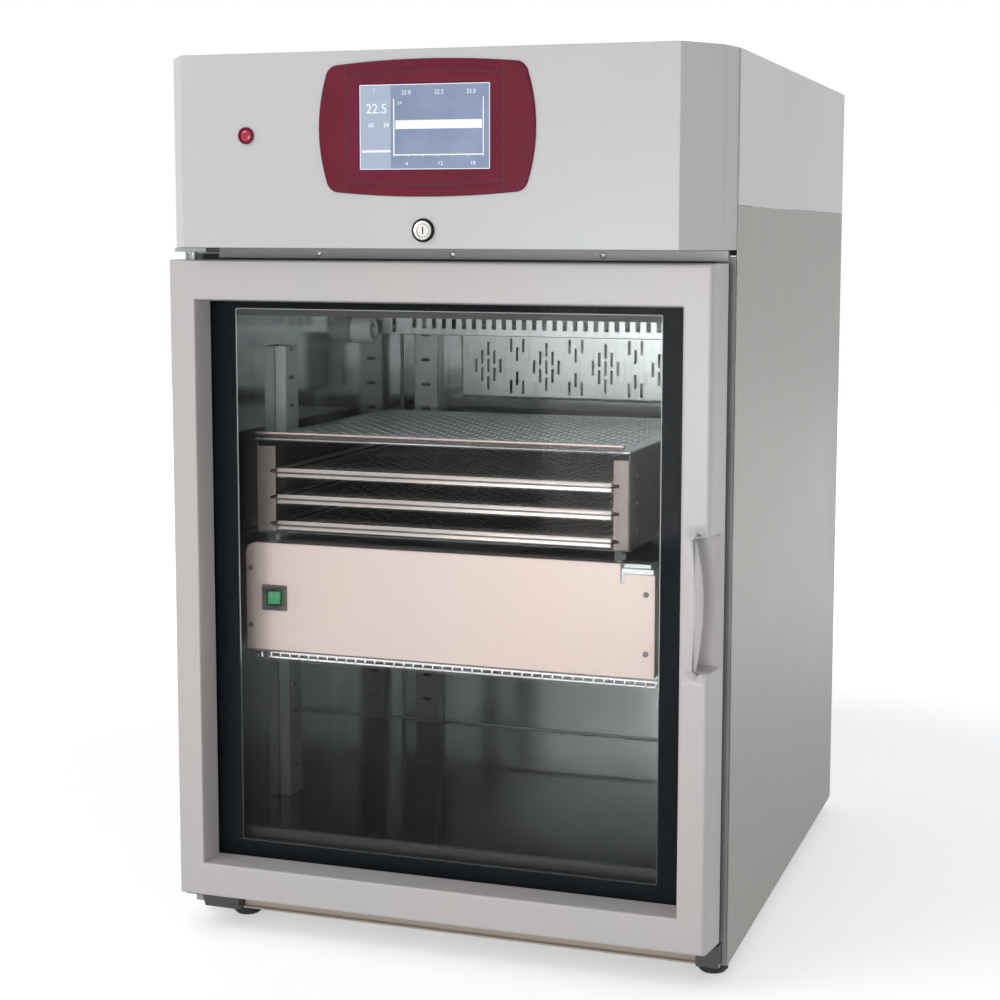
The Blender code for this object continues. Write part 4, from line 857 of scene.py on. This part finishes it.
# Numerals of the display: words, size, and the lower left corner in the same measures
DISPLAY_NUMERALS = (
    ("22.5", 0.0125, 0.0062, 0.335), ("60", 0.0060, 0.0085, 0.50), ("24", 0.0060, 0.0235, 0.50),
    ("1", 0.0050, 0.0135, 0.085), ("22.0", 0.0055, 0.0420, 0.120), ("22.5", 0.0055, 0.0745, 0.120),
    ("23.0", 0.0055, 0.1060, 0.120), ("6", 0.0050, 0.0460, 0.950), ("12", 0.0050, 0.0780, 0.950),
    ("18", 0.0050, 0.1100, 0.950), ("24", 0.0042, 0.0380, 0.235),
)


def display_parts():
    """Framed display: a pale left column with a large reading, and a graph with a band across it."""
    front = low("display_bezel").y
    bezel_parts(front)
    first, last = low("display_screen"), high("display_screen")
    mid_x, mid_z, half, reach = face_of("display_screen")
    wide, tall = last.x - first.x, last.z - first.z
    pane = pillow_outline(mid_x, mid_z, half, reach, 0, 0, 0.0005)
    heart = np.array([[mid_x, mid_z]]) + (pane - (mid_x, mid_z)) * 0.02
    rows = ((1.0, last.y), (0.0, last.y), (0.0, front + 0.0010), (0.02, front + 0.0006),
            (1.0, front + 0.0006))
    piece("screen_pane", rings_at(pane, heart, rows), grid_faces(len(rows), len(pane), wrap_columns=True),
          "cabinet", "screen_blue", "screen_blue", ("display_screen",), sharp=40)
    y = front + 0.00055

    def line(points, width):
        return strip_path([(first.x + u, last.z - v * tall) for u, v in points], width, y)

    column = [line([(0.0008, 0.5), (0.0160, 0.5), (0.0312, 0.5)], tall * 0.985)]
    flat_piece("display_column", column, "cabinet", "lit_blue", 0.00003)
    marks = [line(points, width) for width, points in DISPLAY_LINES]
    left, right, head, foot = 0.0004, wide - 0.0004, 0.005, 0.995
    edge = ((left, head), (right, head), (right, foot), (left, foot), (left, head))
    marks += [line(ends, 0.0007) for ends in zip(edge[:-1], edge[1:])]
    marks += [line([(0.0343 + 0.0147 * n, v) for v in (0.828, 0.850)], 0.0006) for n in range(7)]
    marks += [text_mesh(words, size, first.x + u, last.z - v * tall, y)
              for words, size, u, v in DISPLAY_NUMERALS]
    flat_piece("display_marks", marks, "cabinet", "lit_white", 0.00008)
    across = np.linspace(first.x + 0.0360, first.x + 0.1212, 150)
    jitter = np.sin((across - first.x) * 2310) * np.sin((across - first.x) * 910)
    upper = last.z - 0.428 * tall + 0.0010 * np.abs(jitter)
    lower = last.z - 0.520 * tall - 0.0007 * np.abs(np.roll(jitter, 7))
    band = at_depth(np.stack([np.stack([across, edge_z], -1) for edge_z in (upper, lower)]), y)
    flat_piece("display_band", [(band.reshape(-1, 3), grid_faces(2, len(across)))], "cabinet", "lit_white",
               0.00010)


def lamp_parts():
    """Pilot lamp: a dark rim and a domed red lens, d = h sqrt(1 - (r/R)^2)."""
    x, z, radius, _ = face_of("pilot_lamp")
    front, back = low("pilot_lamp").y, high("pilot_lamp").y
    rim = ((radius, back), (radius, front + 0.0012), (radius - 0.0006, front + 0.0004),
           (radius - 0.0016, front + 0.0004), (radius - 0.0020, front + 0.0010), (radius - 0.0020, back))
    points, faces = lathe((x, 0, z), "y", rim, 64, True)
    piece("lamp_rim", points, faces, "cabinet", "burgundy", "burgundy", ("pilot_lamp",))
    lens = radius - 0.0021
    profile = [(lens * 0.02, back), (lens, back)]
    profile += [(lens * share, front + 0.0016 - 0.0014 * math.sqrt(max(0.0, 1 - share * share)))
                for share in np.linspace(1, 0.02, 9)]
    piece("lamp_lens", *lathe((x, 0, z), "y", profile, 64), "cabinet", "lamp_red", "lamp_red")


class INCUBATOR_OT_head(bpy.types.Operator):
    """Head finishes, framed display with its numerals, pilot lamp and lock"""

    bl_idname = "incubator.head"
    bl_label = "Head and display"

    def execute(self, context):
        dress("cabinet_grey", "head_fascia", "hinge_rail")
        dress("cover_grey", "head_cover")
        dress("zinc", "machine_deck")
        dress("lock_face", "lock_body", "lock_cylinder")
        display_parts()
        lamp_parts()
        return {"FINISHED"}


# Cabinet


RAIL_SCREWS = (-0.135, 0.006, 0.157)


class INCUBATOR_OT_cabinet(bpy.types.Operator):
    """Finishes of the wrapper, rear, plinth, brackets and feet, and the screws of the hinge rail"""

    bl_idname = "incubator.cabinet"
    bl_label = "Cabinet"

    def execute(self, context):
        dress("brushed_side", "outer_wrapper")
        dress("zinc", "rear_panel")
        dress("beige_strip", "plinth_strip")
        dress("collar_grey", "collar_frame")
        dress("rigid_foam", "foam_insulation")
        dress("black_enamel", "bottom_hinge_bracket", "right_base_bracket", "compressor")
        dress("bright_steel", "top_hinge_bracket")
        dress("black_plastic", "power_inlet")
        dress("black_rubber", *named("foot_"))
        front, middle = low("hinge_rail").y, face_of("hinge_rail")[1]
        heads = [screw_head((x, front, middle), "y", -1, 0.0032, 0.0012) for x in RAIL_SCREWS]
        piece("rail_screws", *joined(heads), "cabinet", "chrome_steel", "chrome_steel")
        return {"FINISHED"}


# Chamber


def wire(path, radius, steps=10, square=(0.0, 0.0, 1.0)):
    """A round wire along points: rings of even radius, square to the path, with closed ends.

    No stretch of the path runs along the direction that it is squared to.
    """
    path = np.asarray(path, float)
    step = np.gradient(path, axis=0)
    step /= np.linalg.norm(step, axis=1, keepdims=True)
    across = np.cross(step, square)
    across /= np.linalg.norm(across, axis=1, keepdims=True)
    up = np.cross(across, step)
    turn = np.linspace(0, 2 * math.pi, steps, endpoint=False)[None, :, None]
    rings = path[:, None] + radius * (np.cos(turn) * across[:, None] + np.sin(turn) * up[:, None])
    faces = grid_faces(len(path), steps, wrap_columns=True)
    faces += [tuple(range(steps)), tuple((len(path) - 1) * steps + i for i in range(steps))]
    return rings.reshape(-1, 3), faces


# Half width and rear end of the shelf's rim, and the ends of its tabs at the side and at the rear
SHELF_HALF, SHELF_REAR = 0.2215, 0.1935
SIDE_TAB, REAR_TAB = (0.2262, 0.2288), 0.1958


def shelf_wires(radius, pitch):
    """Shelf of round wires: thin ones front to back on cross wires, bent down to a lower front wire."""
    first, last = low("wire_shelf"), high("wire_shelf")
    half, front, rear = SHELF_HALF - radius, first.y + radius, SHELF_REAR - radius
    z, thin = last.z - radius, radius * 0.70
    drop, foot = z - 0.0050, first.z + thin * 0.6
    rim = at_height(rounded_box_ring(half, front, rear, 0.006, 6), z)
    parts = [wire(np.concatenate([rim, rim[:2]]), radius)]
    count = int(round((2 * half) / pitch))
    places = [-half + n * 2 * half / count for n in range(1, count)]
    parts += [wire([(x, y, z) for y in (front, (front + rear) / 2, rear)], thin, 6) for x in places]
    for share in (0.12, 0.50, 0.88):
        y = front + (rear - front) * share
        parts.append(wire([(x, y, foot) for x in (-half, 0, half)], thin * 0.55, 6))
    corner = [(-half + 0.004, front + 0.012, z), (-half + 0.004, front + 0.003, drop + 0.001),
              (-half + 0.008, front, drop)]
    lower = corner + [(x, front, drop) for x in np.linspace(-half + 0.020, half - 0.020, 12)]
    lower += [(-x, y, height) for x, y, height in reversed(corner)]
    parts.append(wire(lower, radius * 0.85, 8))
    bend = ((front - 0.0004, z), (front - 0.0012, (z + drop) / 2), (front - 0.0004, drop))
    parts += [wire([(x, *place) for place in bend], thin, 6, (1.0, 0.0, 0.0)) for x in places]
    tab = (low("standard_front_left").y + high("standard_front_left").y) / 2
    for side in (-1, 1):
        for y in (tab - 0.004, tab + 0.004):
            parts.append(wire([(side * x, y, z) for x in (half, *SIDE_TAB)], thin, 6))
        for x in (0.2000, 0.2070):
            parts.append(wire([(side * x, y, z) for y in (rear, rear + 0.002, REAR_TAB)], thin, 6))
    piece("shelf_wires", *joined(parts), "cabinet", "chrome_steel", "chrome_steel", ("wire_shelf",))


def cover_slots(width):
    """Short upright slots of the fan cover: diamonds of 1, 2, 3, 2 and 1, and cut-off ones between.

    Columns stand a pitch apart and slots of one column a step apart. Diamonds repeat along x from the start,
    and those between them lie higher or lower by the rise.
    """
    first, last = low("fan_cover"), high("fan_cover")
    pitch, tall, step = 0.0076, 0.0160, 0.0205
    start, repeat, rise = 0.0422, 0.0727, 0.0350
    side, margin, middle = 0.006, 0.0045, (first.z + last.z) / 2
    centres = [(start + n * repeat, middle) for n in range(-2, 3)]
    centres += [(start + (n + 0.5) * repeat, middle + sign * rise)
                for n in range(-2, 3) for sign in (-1, 1)]
    holes = []
    for x, z in centres:
        for column in range(-2, 3):
            count, left = 3 - abs(column), x + column * pitch - width / 2
            for row in range(count):
                foot = z + (row - (count - 1) / 2) * step - tall / 2
                low_z, high_z = max(foot, first.z + margin), min(foot + tall, last.z - margin)
                if high_z - low_z > 0.010 and first.x + side < left < last.x - side - width:
                    holes.append((left, low_z, left + width, high_z))
    return holes


def cover_face(width):
    """Fan cover: a pierced front that rolls back at its left, top and foot, and plain flanks."""
    first, last = low("fan_cover"), high("fan_cover")
    radius = 0.0035
    xs = np.concatenate([first.x + radius + arc(0, 0, radius, 180, 90, 5)[:, 0],
                         np.linspace(first.x + radius, last.x, 40)])
    zs = np.concatenate([np.linspace(first.z + radius, last.z - radius, 20),
                         last.z - radius + radius * np.sin(np.radians(np.linspace(0, 90, 5)))[1:],
                         first.z + radius * (1 - np.sin(np.radians(np.linspace(18, 90, 5))))])

    def plane(x, z):
        fall = 3.0
        for beyond in (first.x + radius - x, z - (last.z - radius), (first.z + radius) - z):
            fall = fall - np.sqrt(1 - np.clip(beyond / radius, 0, 1) ** 2)
        return np.stack([x, first.y + np.minimum(radius * fall, radius), z], -1)

    sheet = pierced_sheet(xs, zs, cover_slots(width), plane)
    rear, edge = high("fan_cover").y, first.y + radius
    floor = [(x, y, first.z) for x, y in ((first.x, edge), (last.x, edge), (last.x, rear), (first.x, rear))]
    lid = [(x, y, last.z) for x, y, _ in floor]
    wall = [floor[0], lid[0], lid[3], floor[3]]
    points, faces = joined([sheet, (floor, [(3, 2, 1, 0)]), (lid, [(0, 1, 2, 3)]), (wall, [(0, 1, 2, 3)])])
    sheet_piece("cover_sheet", points, faces, (0, -1, 0), 0.0010, "cabinet", "cover_steel",
                ("fan_cover",))


def comb_strip():
    """Air duct's front strip: one wide slit and a comb of slots, over its folded floor."""
    first, last = low("air_duct"), high("air_duct")
    slit, comb, wide, pitch = first.x + 0.0391, first.x + 0.0644, 0.0054, 0.0123
    foot, head = first.z + 0.0071, first.z + 0.0223
    holes = [(slit, first.z + 0.0020, slit + 0.0050, last.z - 0.006)]
    holes += [(comb + pitch * n, foot, comb + pitch * n + wide, head) for n in range(33)]
    xs, zs = np.linspace(first.x, last.x, 60), np.linspace(first.z, last.z, 6)
    sheet = pierced_sheet(xs, zs, holes, lambda x, z: np.stack([x, np.full(x.shape, first.y), z], -1))
    floor = [(first.x, first.y, first.z), (last.x, first.y, first.z), (last.x, last.y, first.z),
             (first.x, last.y, first.z)]
    points, faces = joined([sheet, (floor, [(3, 2, 1, 0)])])
    sheet_piece("duct_sheet", points, faces, (0, -1, 0), 0.0010, "cabinet", "cover_steel",
                ("air_duct",))


def liner_seams():
    """Thin pale joints where the back wall meets the floor and the side walls."""
    first, last = low("inner_liner"), high("inner_liner")
    y, half, foot, head = last.y - 0.0026, last.x - 0.0022, first.z + 0.0022, last.z - 0.0100
    lines = [strip_path([(x, foot) for x in (-half, 0.0, half)], 0.0012, y)]
    lines += [strip_path([(x, z) for z in (foot, (foot + head) / 2, head)], 0.0012, y)
              for x in (-half, half)]
    flat_piece("liner_seams", lines, "cabinet", "seam_steel", 0.00010)


class INCUBATOR_OT_chamber(bpy.types.Operator):
    """Steel liner, standards, round-wire shelf, pierced fan cover, comb strip and port plug"""

    bl_idname = "incubator.chamber"
    bl_label = "Chamber"

    def execute(self, context):
        chamber = context.scene.incubator_chamber
        dress("polished_steel", "inner_liner")
        # post_steel paints shade on the standards below the shelf
        dress("post_steel", *named("standard_"))
        dress("fins", "evaporator")
        dress("dark_grey_plastic", "fan_motor")
        dress("black_plastic", "fan_rotor")
        dress("white_plastic", "port_plug")
        shelf_wires(chamber.wire / 2, chamber.pitch)
        cover_face(chamber.slot)
        comb_strip()
        liner_seams()
        return {"FINISHED"}


# Agitator


def staggered_slots(x0, x1, y0, y1, width, margin):
    """Slots that run front to back in columns, every other column shifted by half a step."""
    pitch, long, step = 0.0088, 0.0145, 0.0220
    columns = int((x1 - x0 - 2 * margin - width) / pitch) + 1
    start = (x0 + x1 - (columns - 1) * pitch - width) / 2
    holes = []
    for column in range(columns):
        x = start + column * pitch
        shift = step / 2 if column % 2 else 0.0
        holes += [(x, y, x + width, y + long)
                  for y in np.arange(y0 + margin + shift, y1 - margin - long, step)]
    return holes


def pierced_floor(name, box, top, thickness, margin, width, body, finish, replaced):
    """A level sheet with staggered slots, its upper face at the given height."""
    x0, y0, x1, y1 = box
    points, faces = pierced_sheet(np.array([x0, x1]), np.array([y0, y1]),
                                  staggered_slots(x0, x1, y0, y1, width, margin),
                                  lambda x, y: np.stack([x, y, np.full(x.shape, top)], -1))
    sheet_piece(name, points, faces, (0, 0, 1), thickness, body, finish, replaced)


def lid_sheet(width):
    """Carriage's top plate: staggered slots, and a folded lip in front with soft bends."""
    first, last = low("carriage_top_plate"), high("carriage_top_plate")
    front, top, lip_end = first.y + 0.0003, last.z - 0.0065, last.x - 0.006
    # the lid's finish is brightened steel: a painted highlight
    pierced_floor("lid_plate", (first.x, front, last.x, last.y), top, 0.0012, 0.012, width, "carriage",
                  "lid_steel", ("carriage_top_plate",))
    back = first.y + 0.0018
    fold = [(front, top - 0.0008), (front, last.z - 0.0006), (first.y + 0.0006, last.z - 0.0001),
            (first.y + 0.0012, last.z), (back, last.z - 0.0004), (back, top - 0.0008)]
    rows = [[(x, y, z) for y, z in fold] for x in (first.x, lip_end)]
    faces = grid_faces(2, len(fold), wrap_columns=True)
    faces += [tuple(range(len(fold))), tuple(len(fold) + i for i in range(len(fold)))]
    piece("lid_lip", rows, faces, "carriage", "lid_edge", "bright_steel", smooth=False)


def tray_pieces(node, body, width):
    """A tray: slotted floor inside a standing rim whose upper edge is rolled over."""
    first, last = low(node), high(node)
    sheet, middle, half = 0.0010, (first.x + last.x) / 2, (last.x - first.x) / 2
    inner = (first.x + sheet, first.y + sheet, last.x - sheet, last.y - sheet)
    # the tray floor's finish is darkened steel: painted shade
    pierced_floor(body + "_floor", inner, first.z + sheet, sheet, 0.014, width, body, "tray_steel",
                  (node,))
    profile = ((0.0, first.z), (0.0, last.z - 0.0009), (0.0003, last.z - 0.0002), (0.0009, last.z),
               (0.0017, last.z - 0.0003), (0.0020, last.z - 0.0010), (0.0019, last.z - 0.0022),
               (sheet, last.z - 0.0026), (sheet, first.z))
    rows = []
    for inset, z in profile:
        ring = rounded_box_ring(half - inset, first.y + inset, last.y - inset, 0.0024, 5)
        rows.append(at_height(ring + (middle, 0), z))
    piece(body + "_rim", rows, grid_faces(len(rows), len(rows[0]), True, True), body, "lip_steel",
          "bright_steel")


# Node and body of each tray, then where the panel's screws and the carriage's rivets sit
TRAYS = (("tray_1", "tray_low"), ("tray_2", "tray_middle"), ("tray_3", "tray_high"))
PANEL_SCREWS = ((-0.222, 0.370), (-0.222, 0.311), (0.198, 0.368), (0.198, 0.310))
RIVET_DEPTHS = (-0.215, -0.100, 0.015, 0.085)
RIVET_HEIGHTS = (0.425, 0.452, 0.479)


class INCUBATOR_OT_agitator(bpy.types.Operator):
    """Agitator finishes, pierced top plate, trays, rivets and the panel's screws"""

    bl_idname = "incubator.agitator"
    bl_label = "Agitator"

    def execute(self, context):
        chamber = context.scene.incubator_chamber
        dress("bright_steel", "agitator_housing")
        # the carriage frame's finish is darkened steel: painted shade
        dress("frame_steel", "carriage_frame")
        for node, body in TRAYS:
            tray_pieces(node, body, chamber.tray_slot)
        dress("panel_steel", "agitator_front_panel")
        dress("bracket_steel", "front_bracket_left", "front_bracket_right")
        dress("white_plastic", *named("roller_"))
        dress("zinc", "crank_disc", "connecting_rod")
        dress("dark_grey_plastic", "drive_motor")
        dress("black_plastic", "switch_frame")
        dress("green_rocker", "rocker_switch")
        lid_sheet(chamber.tray_slot)
        face, side = low("agitator_front_panel").y, high("carriage_frame").x
        heads = [screw_head((x, face, z), "y", -1, 0.0029, 0.0012) for x, z in PANEL_SCREWS]
        piece("panel_screws", *joined(heads), "cabinet", "screw_steel", "chrome_steel")
        rivets = [screw_head((side, y, z), "x", 1, 0.0020, 0.0008)
                  for y in RIVET_DEPTHS for z in RIVET_HEIGHTS]
        piece("carriage_rivets", *joined(rivets), "carriage", "chrome_steel", "bright_steel")
        return {"FINISHED"}


# Studio

# Name, place, target, size, and share of the key light's power
LAMPS = (
    ("key", (-1.6, -1.9, 2.2), (0, 0, 0.45), (1.6, 1.6), 1.0),
    ("fill", (2.4, -1.2, 1.2), (0, 0, 0.45), (1.4, 2.0), 0.25),
    ("front", (-0.08, -2.2, 0.45), (0, 0, 0.40), (0.9, 0.7), 0.43),
)
CAMERA_PLACE = (0.6568, -1.9553, 0.7062)
CAMERA_YAW, CAMERA_PITCH, CAMERA_ROLL = 0.3142, 0.1119, 0.004
CAMERA_SHIFT = -0.05


def seen_share(tree):
    """1 for rays that show a surface to the camera, also by way of metal or glass, and 0 for the rest."""
    path = tree.nodes.new("ShaderNodeLightPath")
    share = path.outputs["Is Camera Ray"]
    for other in ("Is Glossy Ray", "Is Transmission Ray"):
        share = arithmetic(tree, "MAXIMUM", share, path.outputs[other])
    return share


def plain_floor(colour):
    """Wide pale ground, shown white but for the object's shadow, and plain white far off."""
    material = coated_sheet("studio_floor", colour, 0.6, 0.0, 0.0, 0.0)
    tree = material.node_tree
    shader = tree.nodes["Principled BSDF"]
    far = ranged(tree, length_of(tree, object_place(tree)), 0.8, 1.8, 0.45, 1.0)
    tree.links.new(arithmetic(tree, "MULTIPLY", far, seen_share(tree)), shader.inputs["Emission Strength"])
    set_inputs(shader, {"Emission Color": (1, 1, 1, 1)})
    mesh = bpy.data.meshes.new("floor")
    mesh.from_pydata([(-6, -6, 0), (6, -6, 0), (6, 6, 0), (-6, 6, 0)], [], [(0, 1, 2, 3)])
    mesh.materials.append(material)
    floor = add_object("floor", mesh)


def area_lamp(name, place, target, size, power):
    data = bpy.data.lights.new(name, "AREA")
    data.shape, data.energy = "RECTANGLE", power
    data.size, data.size_y = size
    aim = (Vector(target) - Vector(place)).to_track_quat("-Z", "Y")
    add_object(name, data).matrix_world = Matrix.Translation(place) @ aim.to_matrix().to_4x4()


def white_world():
    """A world that lights in pale grey and is shown as white."""
    world = bpy.data.worlds.new("studio")
    bpy.context.scene.world = world
    world.use_nodes = True
    tree = world.node_tree
    lit = tree.nodes["Background"]
    set_inputs(lit, {"Color": (0.62, 0.64, 0.66, 1), "Strength": 0.62})
    seen = tree.nodes.new("ShaderNodeBackground")
    set_inputs(seen, {"Color": (1, 1, 1, 1)})
    mixed = tree.nodes.new("ShaderNodeMixShader")
    tree.links.new(seen_share(tree), mixed.inputs["Fac"])
    tree.links.new(lit.outputs["Background"], mixed.inputs[1])
    tree.links.new(seen.outputs["Background"], mixed.inputs[2])
    tree.links.new(mixed.outputs["Shader"], tree.nodes["World Output"].inputs["Surface"])


def camera_turn(yaw, pitch, roll):
    """The turn of a camera that looks along +y at rest, turned left by yaw, down by pitch and rolled."""
    forward = Vector((-math.sin(yaw) * math.cos(pitch), math.cos(yaw) * math.cos(pitch), -math.sin(pitch)))
    right = Vector((math.cos(yaw), math.sin(yaw), 0))
    up = right.cross(forward)
    across = right * math.cos(roll) + up * math.sin(roll)
    above = up * math.cos(roll) - right * math.sin(roll)
    return Matrix((across, above, -forward)).transposed().to_4x4()


class INCUBATOR_OT_studio(bpy.types.Operator):
    """Pale floor, soft lamps, white surround and the camera at the photo's angle"""

    bl_idname = "incubator.studio"
    bl_label = "Studio"

    def execute(self, context):
        studio = context.scene.incubator_studio
        plain_floor(tuple(studio.floor))
        white_world()
        for name, place, target, size, share in LAMPS:
            area_lamp(name, place, target, size, studio.key * share)
        data = bpy.data.cameras.new("camera")
        data.lens, data.sensor_width = studio.lens, 36
        data.shift_x = data.shift_y = CAMERA_SHIFT
        camera = add_object("camera", data)
        turned = camera_turn(CAMERA_YAW, CAMERA_PITCH, CAMERA_ROLL)
        camera.matrix_world = Matrix.Translation(CAMERA_PLACE) @ turned
        context.scene.camera = camera
        context.scene.view_settings.view_transform = "Standard"
        return {"FINISHED"}


# Add-on


OPERATORS = (INCUBATOR_OT_studio, INCUBATOR_OT_cabinet, INCUBATOR_OT_head, INCUBATOR_OT_door,
             INCUBATOR_OT_chamber, INCUBATOR_OT_agitator)


class INCUBATOR_PT_panel(bpy.types.Panel):
    """Lists the incubator's pieces and their settings in the 3D view's sidebar"""

    bl_idname = "INCUBATOR_PT_panel"
    bl_label = "Platelet incubator"
    bl_space_type = "VIEW_3D"
    bl_region_type = "UI"
    bl_category = "Incubator"

    def draw(self, context):
        for operator in OPERATORS:
            self.layout.operator(operator.bl_idname)
        for group in SETTING_GROUPS:
            box = self.layout.box()
            values = getattr(context.scene, group)
            for name in values.__annotations__:
                box.prop(values, name)


CLASSES = (*SETTING_GROUPS.values(), *OPERATORS, INCUBATOR_PT_panel)


def register():
    for cls in CLASSES:
        bpy.utils.register_class(cls)
    for name, group in SETTING_GROUPS.items():
        setattr(bpy.types.Scene, name, bpy.props.PointerProperty(type=group))


def unregister():
    for name in SETTING_GROUPS:
        delattr(bpy.types.Scene, name)
    for cls in reversed(CLASSES):
        bpy.utils.unregister_class(cls)


def main():
    register()
    make_finishes()
    for operator in OPERATORS:
        group, name = operator.bl_idname.split(".")
        getattr(getattr(bpy.ops, group), name)()


if __name__ == "__main__":
    main()
